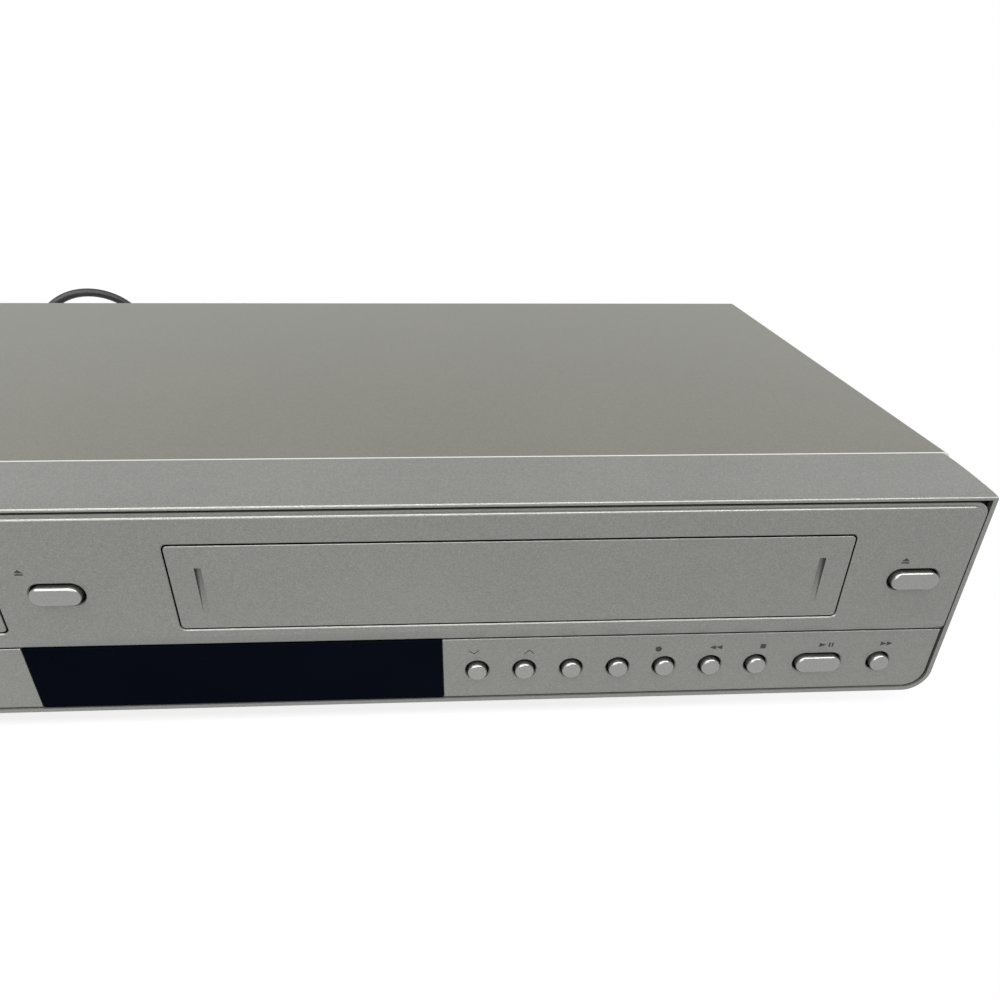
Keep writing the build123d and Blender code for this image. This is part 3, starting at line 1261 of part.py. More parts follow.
def capstan():
    """The capstan shaft with its flywheel under the deck."""
    x = DECK_X + CAPSTAN_X
    wheel_top = DECK_TOP - DECK_T - SIT
    body = post(x, CAPSTAN_D, wheel_top - FLYWHEEL_H, CAPSTAN_TOP, CAPSTAN_R)
    return body + post(x, CAPSTAN_D, wheel_top - FLYWHEEL_H, wheel_top, FLYWHEEL_R)


def arm_place():
    """X and depth of the pinch arm's pivot."""
    return DECK_X + CAPSTAN_X + CAPSTAN_R + ROLLER_R + ROLLER_GAP, CAPSTAN_D + ARM_L


def pinch_arm():
    """The arm that presses the roller against the capstan, on its pivot pin."""
    x, d = arm_place()
    bottom, top = ARM_H, ARM_H + ARM_T
    body = block(x - ARM_HALF_W, x + ARM_HALF_W, d - ARM_L, d, bottom, top)
    body += post(x, d, DECK_TOP + SIT, top, ARM_BOSS_R)
    body += post(x, d - ARM_L, bottom, top, ARM_BOSS_R)
    body += post(x, d - ARM_L, top, top + SIT + ROLLER_H + ARM_PIN_PAST, ARM_PIN_R)
    return body - post(x, d, 0, BODY_H, ARM_PIN_R + RUN)


def pinch_roller():
    """The rubber roller on the pinch arm."""
    x, d = arm_place()
    low = ARM_H + ARM_T + SIT
    body = post(x, d - ARM_L, low, low + ROLLER_H, ROLLER_R)
    return body - post(x, d - ARM_L, 0, BODY_H, ARM_PIN_R + RUN)


def reel_table(side):
    """A reel table: a wide flange, a hub with three splines, and a bore for its shaft."""
    x = DECK_X + side * REEL_PITCH / 2
    low = DECK_TOP + SIT
    flange_top = low + REEL_FLANGE_T
    body = post(x, REEL_D, low, flange_top, REEL_R)
    body += post(x, REEL_D, low, REEL_TOP, REEL_HUB_R)
    spline = Pos(REEL_HUB_R, 0, 0) * Box(SPLINE_L, SPLINE_W, REEL_TOP - flange_top)
    for number in range(SPLINE_COUNT):
        turn = Rot(0, 0, 360 / SPLINE_COUNT * number)
        body += Pos(x, back(REEL_D), up((flange_top + REEL_TOP) / 2)) * turn * spline
    return body - post(x, REEL_D, low - PAST, REEL_TOP - REEL_CAP, REEL_SHAFT_R + RUN)


def deck_motor():
    """The tape loading motor, standing on the deck plate with its worm."""
    x, top = DECK_X + DECK_MOTOR_X, DECK_TOP + DECK_MOTOR_H
    can = post(x, DRUM_D, DECK_TOP, top, DECK_MOTOR_R)
    return can + post(x, DRUM_D, top, top + WORM_L, WORM_R)


# ---- power cord ----
# each point's distance right of the exit, behind the rear panel and above the resting surface
LEAD_ROUTE = (
    (0.0, RELIEF_L, UP_EXIT),
    (0.0, 30.5, UP_EXIT),
    (-0.2, 42.3, 31.1),
    (0.0, 51.5, 42.9),
    (1.2, 53.5, 57.7),
    (9.3, 56.3, 69.8),
    (21.9, 60.9, 76.7),
    (36.0, 66.0, 76.4),
    (48.6, 70.6, 69.6),
    (56.8, 73.7, 57.5),
    (60.2, 75.1, 41.0),
    (67.4, 78.0, 26.0),
    (78.7, 81.8, 15.7),
    (94.2, 87.4, 9.2),
    (114.5, 92.3, 3.5),
    (136.0, 92.3, 3.5),
)


def tube(path):
    """A round tube along a path."""
    start = path @ 0
    plane = Plane(origin=start, z_dir=path % 0)
    return sweep(plane * Circle(CORD_D / 2), path=path)


def power_cord():
    """The free lead: out of the strain relief, up over an arch and down to the coil."""
    points = [Vector(CORD_X + x, back(REAR_D + d), z) for x, d, z in LEAD_ROUTE]
    runs = [b - a for a, b in zip(points, points[1:])]
    radii = []
    for one, two in zip(runs, runs[1:]):
        half = math.radians(one.get_angle(two)) / 2
        radii.append(BEND_SHARE * min(one.length, two.length) / math.tan(half))
    path = FilletPolyline(*points, radius=radii)
    print("lead length", round(path.length, 1), "least bend radius", round(min(radii), 1))
    return tube(path)


def coil_stops():
    """Where each half turn ends on the line through the coil, with its height."""
    low = COIL_LIFT + CORD_D / 2
    step = COIL_PITCH / 2
    spot, radius, way = COIL_R, COIL_R, -1
    stops = [(spot, low)]
    for number in range(HALF_TURNS_DOWN + HALF_TURNS_UP):
        spot += 2 * way * radius
        way = -way
        height = low if number < HALF_TURNS_DOWN - 1 else low + COIL_LAYER
        stops.append((spot, height))
        radius += step if number >= HALF_TURNS_DOWN - 1 else -step
    return stops


def coil_path():
    """One unbroken line: half circles inwards, one tilted half circle up, half circles outwards."""
    stops = coil_stops()
    x, y = COIL_X, back(COIL_D)
    points = [Vector(x, y + spot, z) for spot, z in stops]
    edges = [Line(points[0] - Vector(CORD_D, 0, 0), points[0])]
    way = 1
    for a, b in zip(points, points[1:]):
        bulge = (a + b) * 0.5 + Vector(way * (b - a).length / 2, 0, 0)
        edges.append(ThreePointArc(a, bulge, b))
        way = -way
    edges.append(Line(points[-1], points[-1] + Vector(COIL_TAIL, 0, 0)))
    return Wire(edges)


def least_gap(path):
    """The least gap of the wound tube to itself, measured on points along its middle."""
    points = [path @ (number / GAP_SAMPLES) for number in range(GAP_SAMPLES + 1)]
    apart = int(GAP_SKIP * CORD_D / (path.length / GAP_SAMPLES)) + 1
    best = path.length
    for number in range(0, GAP_SAMPLES, 2):
        for other in points[number + apart :: 2]:
            best = min(best, (points[number] - other).length)
    return best - CORD_D


def cord_coil():
    """The rest of the lead, wound in two layers, with a straight start and tail."""
    path = coil_path()
    print("coil length", round(path.length, 1), "least gap", round(least_gap(path), 2))
    return tube(path)


def cord_tie():
    """The band round the coil's turns."""
    spots = [spot for spot, z in coil_stops()]
    reach = (max(abs(a - b) for a, b in zip(spots, spots[1:])) + CORD_D) / 2 + SIT
    hole = (min(abs(a - b) for a, b in zip(spots, spots[1:])) - CORD_D) / 2 - 2 * SIT
    low, high = COIL_LIFT - TIE_T, COIL_LIFT + CORD_D + COIL_LAYER + SIT
    x0, x1 = COIL_X - reach - TIE_T, COIL_X - hole + TIE_T
    middle = COIL_D - COIL_PITCH / 2
    d0, d1 = middle - TIE_W / 2, middle + TIE_W / 2
    band = block(x0, x1, d0, d1, low - FOOT_H, high + TIE_T - FOOT_H)
    inside = (x0 + TIE_T, x1 - TIE_T, d0 - PAST, d1 + PAST)
    return band - block(*inside, COIL_LIFT - FOOT_H, high - FOOT_H)


def strain_relief():
    """The tapered grommet that holds the cord in the rear panel, with ribs along it."""
    inner = REAR_D - SHEET
    plane = Plane(origin=(CORD_X, back(REAR_D), up(CORD_EXIT_H)), z_dir=(0, 1, 0))
    tip, core, wide = CORD_D / 2 + RELIEF_TIP, CORD_D / 2 + RELIEF_CORE, 3 * RELIEF_R
    taper = plane * Pos(0, 0, RELIEF_L / 2) * Cone(RELIEF_R, tip, RELIEF_L)
    cut = Cylinder(RELIEF_R + PAST, RELIEF_CUT) - Cylinder(core, 2 * RELIEF_CUT)
    cut -= Box(wide, RELIEF_BRIDGE, 2 * RELIEF_CUT)
    for number in range(RELIEF_CUTS):
        taper -= plane * Pos(0, 0, (number + 1) * RELIEF_PITCH) * cut
    neck = rod(CORD_X, CORD_EXIT_H, inner, REAR_D, RELIEF_NECK_R)
    flange = rod(CORD_X, CORD_EXIT_H, inner - RELIEF_FLANGE, inner, RELIEF_R)
    return taper + neck + flange


def power_plug():
    """The two-blade plug on the end of the lead, lying beside the coil."""
    spot, z = coil_stops()[-1]
    x = COIL_X + COIL_TAIL
    y = back(COIL_D) + spot
    cone = Cone(CORD_D / 2 + PLUG_NECK_T, CORD_D, PLUG_NECK_L)
    neck = Pos(x + PLUG_NECK_L / 2, y, z) * Rot(0, 90, 0) * cone
    tall = 2 * (z - SIT)
    body = Pos(x + PLUG_NECK_L + PLUG_BODY_L / 2, y, z) * Box(PLUG_BODY_L, PLUG_BODY_W, tall)
    body = fillet(body.edges().filter_by(Axis.X), tall / 4)
    end = x + PLUG_NECK_L + PLUG_BODY_L
    for side, width in ((-1, BLADE_W), (1, BLADE_WIDE)):
        body += Pos(end + BLADE_L / 2, y + side * BLADE_PITCH / 2, z) * Box(BLADE_L, BLADE_T, width)
    return neck + body


BUILDERS = {
    "top_cover": top_cover,
    "bottom_chassis": bottom_chassis,
    "rear_panel": rear_panel,
    "front_bezel": front_bezel,
    "upper_fascia": upper_fascia,
    "lower_left_panel": lower_left_panel,
    "display_window": display_window,
    "button_panel": button_panel,
    "feet": feet,
    "case_screws": case_screws,
    "front_board": front_board,
    "front_av_sockets": front_av_sockets,
    "cassette_flap": cassette_flap,
    "flap_spring": flap_spring,
    "deck_chassis": deck_chassis,
    "carriage_rails": carriage_rails,
    "cassette_carriage": cassette_carriage,
    "drum_base": drum_base,
    "head_drum": head_drum,
    "capstan": capstan,
    "pinch_arm": pinch_arm,
    "pinch_roller": pinch_roller,
    "deck_motor": deck_motor,
    "loader_frame": loader_frame,
    "disc_tray": disc_tray,
    "tray_front": tray_front,
    "tray_gear": tray_gear,
    "loader_motor": loader_motor,
    "loader_belt": loader_belt,
    "sled_base": sled_base,
    "spindle_motor": spindle_motor,
    "turntable": turntable,
    "pickup_sled": pickup_sled,
    "guide_rods": guide_rods,
    "lead_screw": lead_screw,
    "clamp_bridge": clamp_bridge,
    "disc_clamp": disc_clamp,
    "main_board": main_board,
    "power_board": power_board,
    "tuner_module": tuner_module,
    "rear_sockets": rear_sockets,
    "strain_relief": strain_relief,
    "power_cord": power_cord,
    "cord_coil": cord_coil,
    "cord_tie": cord_tie,
    "power_plug": power_plug,
}


def main():
    """Builds every piece and writes one file for each."""
    os.makedirs("parts", exist_ok=True)
    pieces = {name: build() for name, build in BUILDERS.items()}
    pieces["supply_reel_table"] = reel_table(-1)
    pieces["take_up_reel_table"] = reel_table(1)
    for name in KEYS:
        pieces[name] = button(name)
    for name, piece in pieces.items():
        export_step(piece, f"parts/{name}.step")


main()
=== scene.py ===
"""Dresses the disc and tape player: paints, moulded plastics, marks, sockets, mains lead and studio."""

import json
import math

import bmesh
import bpy
import numpy as np
from bpy.props import FloatProperty, FloatVectorProperty, PointerProperty
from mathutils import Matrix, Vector


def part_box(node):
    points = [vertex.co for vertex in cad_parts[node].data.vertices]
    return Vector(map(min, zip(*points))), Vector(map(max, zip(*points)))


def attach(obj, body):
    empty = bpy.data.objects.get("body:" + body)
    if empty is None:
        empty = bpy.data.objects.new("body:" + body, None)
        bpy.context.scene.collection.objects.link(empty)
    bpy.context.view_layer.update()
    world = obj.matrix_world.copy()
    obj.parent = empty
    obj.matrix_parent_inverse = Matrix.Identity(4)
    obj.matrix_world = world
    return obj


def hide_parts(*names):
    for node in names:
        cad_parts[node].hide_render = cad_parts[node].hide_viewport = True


bl_info = {
    "name": "Disc and Tape Player Dresser",
    "version": (1, 0, 0),
    "blender": (4, 5, 0),
    "location": "View3D > Sidebar > Player",
    "description": "Paints the player, prints its key symbols, lays its lead and sets up its studio",
    "category": "Object",
}

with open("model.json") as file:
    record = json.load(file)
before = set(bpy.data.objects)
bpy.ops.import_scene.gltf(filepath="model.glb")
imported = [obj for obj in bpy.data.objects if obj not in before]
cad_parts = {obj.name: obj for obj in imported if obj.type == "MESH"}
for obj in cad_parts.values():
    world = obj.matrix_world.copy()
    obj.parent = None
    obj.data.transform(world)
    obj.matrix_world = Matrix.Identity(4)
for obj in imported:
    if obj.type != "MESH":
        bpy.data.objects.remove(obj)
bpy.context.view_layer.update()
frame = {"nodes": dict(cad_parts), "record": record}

MM = 0.001
CASE = "case"

# ---- places taken from the frame ----
FACE_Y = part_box("upper_fascia")[0].y
BOTTOM_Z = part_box("front_bezel")[0].z
SIDE_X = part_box("front_bezel")[1].x
STRIP_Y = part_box("button_panel")[0].y
REAR_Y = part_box("rear_panel")[1].y
SOCKET_END_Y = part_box("rear_sockets")[1].y
KEY_PROUD = FACE_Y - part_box("eject_button")[0].y


def middle_of(node):
    """The middle of a node's box."""
    low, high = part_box(node)
    return (low + high) / 2


# ---- sizes and colours that can be changed ----
def colour_property(name, description, default):
    """A colour setting."""
    return FloatVectorProperty(
        name=name, description=description, default=default, subtype="COLOR", min=0, max=1
    )


def length_property(name, description, default):
    """A length setting, in metres."""
    return FloatProperty(name=name, description=description, default=default, unit="LENGTH", precision=5)


def angle_property(name, description, degrees):
    """An angle setting, given in degrees."""
    return FloatProperty(
        name=name, description=description, default=math.radians(degrees), subtype="ANGLE"
    )


class PaintSettings(bpy.types.PropertyGroup):
    """Colours of the player's paints and plastics."""

    cover: colour_property("Cover paint", "Metallic paint on the sheet cover", (0.157, 0.156, 0.132))
    front: colour_property("Front paint", "Metallic paint on the front mouldings", (0.214, 0.217, 0.204))
    keys: colour_property("Key paint", "Brighter metallic paint on the keys", (0.27, 0.27, 0.26))
    window: colour_property("Window", "Smoked window over the display", (0.0022, 0.0030, 0.0058))
    black: colour_property("Black plastic", "Unpainted mouldings", (0.014, 0.014, 0.015))
    zinc: colour_property("Zinc", "Plated sheet steel", (0.56, 0.57, 0.57))
    board: colour_property("Solder mask", "Green face of the circuit boards", (0.018, 0.105, 0.035))
    print_ink: colour_property("Print", "Ink of the key symbols", (0.020, 0.020, 0.021))
    flake: length_property("Flake", "Width of one metallic flake cluster in the paint", 0.00026)


class LeadSettings(bpy.types.PropertyGroup):
    """Sizes of the mains lead and its coil."""

    thickness: length_property("Lead thickness", "Outer diameter of the lead", 0.005)
    coil_radius: length_property("Coil radius", "Radius of the coil's outer half turn", 0.0345)
    turn_step: length_property("Turn step", "Distance from one turn to the next", 0.0056)
    layer_step: length_property("Layer step", "Height of the second layer over the first", 0.0055)
    tail: length_property("Tail", "Straight end from the coil to the plug", 0.024)


class StudioSettings(bpy.types.PropertyGroup):
    """The camera's place and the level of the lamps."""

    across: length_property("Camera across", "Camera's distance right of the middle", 0.06151)
    away: length_property("Camera away", "Camera's distance in front of the front face", 0.17162)
    height: length_property("Camera height", "Camera's height above the body's bottom edge", 0.16830)
    tilt: angle_property("Camera tilt", "Tilt up from straight down", 61.5465)
    roll: angle_property("Camera roll", "Lean about the axis from front to back", -0.6863)
    turn: angle_property("Camera turn", "Turn to the left about the upright axis", -2.7477)
    lens: FloatProperty(
        name="Lens",
        description="Focal length on a 36 mm wide sensor",
        default=25.515,
        subtype="DISTANCE_CAMERA",
    )
    lamp_level: FloatProperty(name="Lamp level", description="Factor on every lamp", default=1.0, min=0)


# ---- shader building ----
WHITE = (1.0, 1.0, 1.0, 1.0)
WHITE_RAYS = ("Is Camera Ray", "Is Glossy Ray", "Is Transmission Ray")


class Value:
    """A shader output that takes part in arithmetic: each operation adds one Math node."""

    def __init__(self, nodes, socket):
        self.nodes = nodes
        self.socket = socket

    def math(self, operation, *terms):
        """The Math node of that operation on the given terms, in order."""
        return self.nodes.node("ShaderNodeMath", {"operation": operation}, dict(enumerate(terms)))

    def __add__(self, other):
        return self.math("ADD", self, other)

    def __radd__(self, other):
        return self.math("ADD", other, self)

    def __sub__(self, other):
        return self.math("SUBTRACT", self, other)

    def __rsub__(self, other):
        return self.math("SUBTRACT", other, self)

    def __mul__(self, other):
        return self.math("MULTIPLY", self, other)

    def __rmul__(self, other):
        return self.math("MULTIPLY", other, self)

    def __truediv__(self, other):
        return self.math("DIVIDE", self, other)

    def __rtruediv__(self, other):
        return self.math("DIVIDE", other, self)

    def __gt__(self, other):
        return self.math("GREATER_THAN", self, other)

    def __lt__(self, other):
        return self.math("LESS_THAN", self, other)

    def __abs__(self):
        return self.math("ABSOLUTE", self)

    def power(self, exponent):
        """This value raised to an exponent."""
        return self.math("POWER", self, exponent)

    def rounded(self):
        """The nearest whole number."""
        return self.math("ROUND", self)

    def ramp(self, low, high, start=0.0, end=1.0):
        """Start below low, end above high, and a smooth step between them."""
        settings = {"interpolation_type": "SMOOTHSTEP"}
        return self.nodes.node("ShaderNodeMapRange", settings, {0: self, 1: low, 2: high, 3: start, 4: end})


class Nodes:
    """The nodes of one material or world, in front of its output."""

    def __init__(self, owner, output):
        owner.use_nodes = True
        self.tree = owner.node_tree
        self.tree.nodes.clear()
        self.output = self.tree.nodes.new(output)

    def node(self, kind, settings=None, inputs=None, output=0):
        """A node of that kind: its settings first, then the values or links of its sockets."""
        node = self.tree.nodes.new(kind)
        for key, setting in (settings or {}).items():
            setattr(node, key, setting)
        for key, value in (inputs or {}).items():
            self.put(node.inputs[key], value)
        return Value(self, node.outputs[output])

    def put(self, socket, value):
        """Links a value to a socket, or sets a number or a colour on it."""
        if isinstance(value, Value):
            self.tree.links.new(value.socket, socket)
        else:
            socket.default_value = value

    def seen(self):
        """1 on the rays that show the surroundings, 0 on the rays that light the player."""
        return sum(self.node("ShaderNodeLightPath", output=ray) for ray in WHITE_RAYS)

    def blend(self, share, first, second):
        """First shader where the share is 0, second where it is 1."""
        return self.node("ShaderNodeMixShader", None, {0: share, 1: first, 2: second})

    def show(self, shader):
        """Puts a shader on the output."""
        self.put(self.output.inputs["Surface"], shader)


class Finish(Nodes):
    """One material: a Principled surface and the nodes that feed it."""

    def __init__(self, name, constants):
        self.material = bpy.data.materials.new(name)
        super().__init__(self.material, "ShaderNodeOutputMaterial")
        self.surface = self.node("ShaderNodeBsdfPrincipled", None, constants)
        self.show(self.surface)

    def feed(self, socket, value):
        """Feeds one socket of the surface."""
        self.put(self.surface.socket.node.inputs[socket], value)

    def where(self):
        """The place on the object, in metres."""
        return self.node("ShaderNodeTexCoord", output="Object")

    def axis(self, number):
        """One coordinate of the place on the object."""
        return self.node("ShaderNodeSeparateXYZ", None, {0: self.where()}, number)

    def stretched(self, factors):
        """The place on the object with each coordinate multiplied by its own factor."""
        settings = {"operation": "MULTIPLY"}
        return self.node("ShaderNodeVectorMath", settings, {0: self.where(), 1: factors})

    def noise(self, size, detail=2.0, roughness=0.5, vector=None):
        """Smooth noise from 0 to 1 whose lumps are about one size wide."""
        inputs = {"Vector": vector or self.where(), "Scale": 1 / size}
        inputs |= {"Detail": detail, "Roughness": roughness}
        return self.node("ShaderNodeTexNoise", None, inputs)

    def cells(self, size, output="Color"):
        """Random cells about one size wide: a random colour each, or the distance to the cell's middle."""
        return self.node("ShaderNodeTexVoronoi", None, {"Vector": self.where(), "Scale": 1 / size}, output)

    def chance(self, size):
        """One random number from 0 to 1 for each cell."""
        return self.node("ShaderNodeSeparateColor", None, {0: self.cells(size)})

    def mix(self, mask, first, second):
        """First colour where the mask is 0, second where it is 1."""
        return self.node("ShaderNodeMix", {"data_type": "RGBA"}, {0: mask, 6: first, 7: second}, 2)

    def bump(self, height, distance):
        """Feeds the surface's normal with a height that spans a distance in metres."""
        inputs = {"Height": height, "Distance": distance, "Strength": 1.0}
        self.feed("Normal", self.node("ShaderNodeBump", None, inputs))


def tone(colour, factor):
    """A colour made lighter or darker, with its alpha."""
    return tuple(min(1.0, part * factor) for part in tuple(colour)[:3]) + (1.0,)


def flake_paint(name, colour, flake, metallic, roughness, coat, *masks):
    """Metallic paint: small flakes of slightly different tone, rare bright ones, and a faint orange peel.
    Each mask is a function that gives a share and the colour that covers the paint there."""
    finish = Finish(name, {"Metallic": metallic, "Coat Weight": coat, "Coat Roughness": 0.18, "IOR": 1.5})
    flakes = finish.chance(flake)
    fine = finish.chance(flake / 2)
    cloud = finish.noise(60 * MM, 3.0)
    blend = (flakes * 0.5 + fine * 0.5 + (cloud - 0.5) * 0.3).ramp(0.0, 1.0)
    paint = finish.mix(blend, tone(colour, 0.80), tone(colour, 1.20))
    paint = finish.mix((flakes > 0.99) * 0.3, paint, tone(colour, 1.7))
    gloss = roughness + (fine - 0.5) * 0.06 + (cloud - 0.5) * 0.05
    for mask in masks:
        share, cover = mask(finish)
        paint = finish.mix(share, paint, cover)
        gloss = gloss + share * 0.15
    finish.feed("Base Color", paint)
    finish.feed("Roughness", gloss)
    peel = finish.noise(0.9 * MM, 2.0) * 0.6 + flakes * 0.4
    finish.bump(peel, 0.004 * MM)
    return finish.material


def moulded(name, colour, roughness, texture=0.25 * MM, relief=0.02 * MM):
    """Moulded plastic: a fine even spark-eroded texture and faint flow shading."""
    finish = Finish(name, {"IOR": 1.46})
    grain = finish.noise(texture, 3.0, 0.6)
    flow = finish.noise(35 * MM, 2.0)
    finish.feed("Base Color", finish.mix(flow * 0.6 + grain * 0.4, tone(colour, 0.82), tone(colour, 1.22)))
    finish.feed("Roughness", roughness + (grain - 0.5) * 0.16)
    finish.bump(grain, relief)
    return finish.material


def plated(name, colour, roughness, spangle=6 * MM, brushed=(1, 60, 60)):
    """Plated sheet: crystal-like patches of tone, fine drawn lines and a few dull stains."""
    finish = Finish(name, {"Metallic": 1.0})
    patches = finish.chance(spangle)
    lines = finish.noise(18 * MM, 3.0, 0.6, finish.stretched(brushed))
    stains = finish.noise(28 * MM, 4.0).ramp(0.52, 0.75)
    metal = finish.mix(patches * 0.5 + lines * 0.5, tone(colour, 0.80), tone(colour, 1.14))
    finish.feed("Base Color", finish.mix(stains * 0.35, metal, tone(colour, 0.55)))
    finish.feed("Roughness", roughness + (lines - 0.5) * 0.18 + stains * 0.12)
    finish.bump(lines, 0.008 * MM)
    return finish.material


def dress(material, *nodes):
    """Gives CAD nodes a material in every slot."""
    for name in nodes:
        mesh = frame["nodes"][name].data
        mesh.materials.clear()
        mesh.materials.append(material)


# ---- mesh building ----
def piece(name, vertices, faces, body, slot, material, smooth=True):
    """A new object from whole arrays of points and faces, welded and with its faces turned outwards."""
    mesh = bpy.data.meshes.new(name)
    mesh.from_pydata(np.asarray(vertices, float).reshape(-1, 3), [], faces)
    shell = bmesh.new()
    shell.from_mesh(mesh)
    bmesh.ops.remove_doubles(shell, verts=shell.verts, dist=1e-7)
    bmesh.ops.recalc_face_normals(shell, faces=shell.faces)
    shell.to_mesh(mesh)
    shell.free()
    mesh.materials.append(material)
    mesh.polygons.foreach_set("use_smooth", np.full(len(mesh.polygons), smooth))
    thing = bpy.data.objects.new(name, mesh)
    bpy.context.scene.collection.objects.link(thing)
    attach(thing, body)
    return thing


def sharpen(thing, degrees=35.0):
    """Keeps edges sharper than an angle from being smoothed over."""
    thing.data.shade_smooth()
    thing.data.set_sharp_from_angle(angle=math.radians(degrees))


def ring_faces(rings, around, closed=False):
    """Quads between neighbouring rings of points, with a flat cap at both ends of an open row of rings."""
    count = rings if closed else rings - 1
    row, column = np.meshgrid(np.arange(count), np.arange(around), indexing="ij")
    after = (row + 1) % rings
    beside = (column + 1) % around
    quads = np.stack(
        [row * around + column, row * around + beside, after * around + beside, after * around + column], -1
    )
    faces = quads.reshape(-1, 4).tolist()
    if not closed:
        faces.append(list(range(around)))
        faces.append(list(range((rings - 1) * around, rings * around)))
    return faces


def gather(shapes):
    """Several shapes, each with its points and faces, as one."""
    points, faces, start = [], [], 0
    for vertices, own in shapes:
        points.append(vertices.reshape(-1, 3))
        faces += [[index + start for index in face] for face in own]
        start += vertices.reshape(-1, 3).shape[0]
    return np.concatenate(points), faces


def lathe(profile, centre, around=40):
    """A closed profile of radius and distance along +Y, turned once round an axis along Y through the
    centre: a ring-shaped solid."""
    radius, along = np.asarray(profile, float).T
    angle = np.arange(around) * 2 * math.pi / around
    x = centre[0] + radius[None, :] * np.cos(angle)[:, None]
    y = centre[1] + np.broadcast_to(along, x.shape)
    z = centre[2] + radius[None, :] * np.sin(angle)[:, None]
    return np.stack([x, y, z], -1), ring_faces(around, len(radius), closed=True)


def prism(outline, front, thickness):
    """An outline in X and Z, carried along Y from the front by a thickness."""
    outline = np.asarray(outline, float)
    y = np.array([[front], [front + thickness]])
    x, z = outline.T
    rings = np.stack(np.broadcast_arrays(x, y, z), -1)
    return rings, ring_faces(2, len(outline))


def superellipse(width, height, power, around):
    """Points round |u/a|^n + |v/b|^n = 1, with a and b half of a width and a height: u and v, with a row
    for each width, height and power."""
    angle = np.arange(around) * 2 * math.pi / around
    cosine, sine = np.cos(angle), np.sin(angle)
    exponent = 2 / np.reshape(power, (-1, 1))
    u = np.sign(cosine) * np.abs(cosine) ** exponent * np.reshape(width, (-1, 1)) / 2
    v = np.sign(sine) * np.abs(sine) ** exponent * np.reshape(height, (-1, 1)) / 2
    return u, v


# ---- paints and plastics on the frame's own pieces ----
BARE_AND_SHADE = (0.004, 0.004, 0.004, 1.0)  # near black: unpainted moulding, darkened further as painted shade in the gaps, holes and grooves
PAINTED_HIGHLIGHT = (0.75, 0.75, 0.72, 1.0)  # painted highlight along the cover's front edge
SKIN = 0.02 * MM  # how far a mask's border lies from the wall that it follows
DARK_WALL_DEPTH = 0.35 * MM  # how far behind a face the near-black walls begin: unpainted moulding and painted shade
WEB_FRONT = 2.7 * MM  # the bezel's web behind the panels, from the front face
WEB_BACK = 24.6 * MM
WEB_SIDE = 1.0 * MM
WEB_LOW = 1.2 * MM
WEB_HIGH = 72.6 * MM
OPENING_GAP = 0.55 * MM  # from a door's outline to the wall of its opening, at most
TRAY_DARK_WALL_DEPTH = 0.6 * MM
COVER_EDGE = 0.7 * MM
GROOVE_AWAY = 91.1 * MM  # from the door's middle to a finger groove's
GROOVE_HALF = 1.05 * MM
GROOVE_LOW = BOTTOM_Z + 38.2 * MM
GROOVE_HIGH = BOTTOM_Z + 54.3 * MM
DOOR_MIDDLE = middle_of("cassette_carriage").x
DOOR_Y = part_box("cassette_flap")[0].y
DOOR_HALF = 99.5 * MM
DOOR_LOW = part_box("cassette_flap")[0].z
DOOR_HIGH = BOTTOM_Z + 61.6 * MM
DOOR_EDGE_DEPTH = 0.3 * MM
DOOR_THICK = 2.0 * MM


def within(value, low, high):
    """1 between two values."""
    return (value > low) * (value < high)


def recess_mask(finish):
    """Near-black web behind the panels, which shows only in the gaps: partly the unpainted black moulding,
    partly painted shade in the gaps.
    """
    behind = within(finish.axis(1), FACE_Y + WEB_FRONT, FACE_Y + WEB_BACK)
    upright = within(finish.axis(2), BOTTOM_Z + WEB_LOW, BOTTOM_Z + WEB_HIGH)
    return behind * (abs(finish.axis(0)) < SIDE_X - WEB_SIDE) * upright, BARE_AND_SHADE


def wall_mask(node, reach=0.0, sunk=DARK_WALL_DEPTH):
    """Near-black walls round a node's outline and, with a reach, round the opening it fills, from a little
    behind the front face: partly unpainted moulding, partly painted shade in the gaps and holes."""
    low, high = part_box(node)

    def mask(finish):
        """The share of near-black wall: unpainted moulding and painted shade."""
        across = within(finish.axis(0), low.x - reach, high.x + reach)
        upright = within(finish.axis(2), low.z - reach, high.z + reach)
        return across * upright * (finish.axis(1) > low.y + sunk), BARE_AND_SHADE

    return mask


def groove_mask(finish):
    """Painted shade in the tape door's two finger grooves, deeper towards their upper end. Their floor lies
    just behind the door's face."""
    beside = abs(abs(finish.axis(0) - DOOR_MIDDLE) - GROOVE_AWAY) < GROOVE_HALF
    shade = finish.axis(2).ramp(GROOVE_LOW, GROOVE_HIGH, 0.05, 0.40)
    sunk = finish.axis(1) > DOOR_Y + SKIN
    return beside * sunk * within(finish.axis(2), GROOVE_LOW, GROOVE_HIGH) * shade, BARE_AND_SHADE


def door_wall_mask(finish):
    """Near-black edges all round the tape door and on its back: unpainted moulding, and painted shade in the
    gap round the door.
    """
    side = abs(finish.axis(0) - DOOR_MIDDLE) > DOOR_HALF - SKIN
    ends = (finish.axis(2) < DOOR_LOW + SKIN) + (finish.axis(2) > DOOR_HIGH - SKIN)
    back = finish.axis(1) > DOOR_Y + DOOR_THICK
    return ((side + ends) * (finish.axis(1) > DOOR_Y + DOOR_EDGE_DEPTH) + back).ramp(0.0, 1.0), BARE_AND_SHADE


def cover_edge_highlight_mask(finish):
    """A painted highlight: a bright line along the cover's front edge."""
    return (finish.axis(1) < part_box("top_cover")[0].y + COVER_EDGE) * 0.8, PAINTED_HIGHLIGHT


class PLAYER_OT_cover(bpy.types.Operator):
    """Paints the sheet cover"""

    bl_idname = "player.cover"
    bl_label = "Paint cover"

    def execute(self, context):
        """Gives the cover its metallic paint."""
        paint = context.scene.player_paint
        look = (paint.cover, paint.flake, 0.6, 0.42, 0.05)
        # the cover's front edge gets a painted highlight
        dress(flake_paint("cover_paint", *look, cover_edge_highlight_mask), "top_cover")
        return {"FINISHED"}


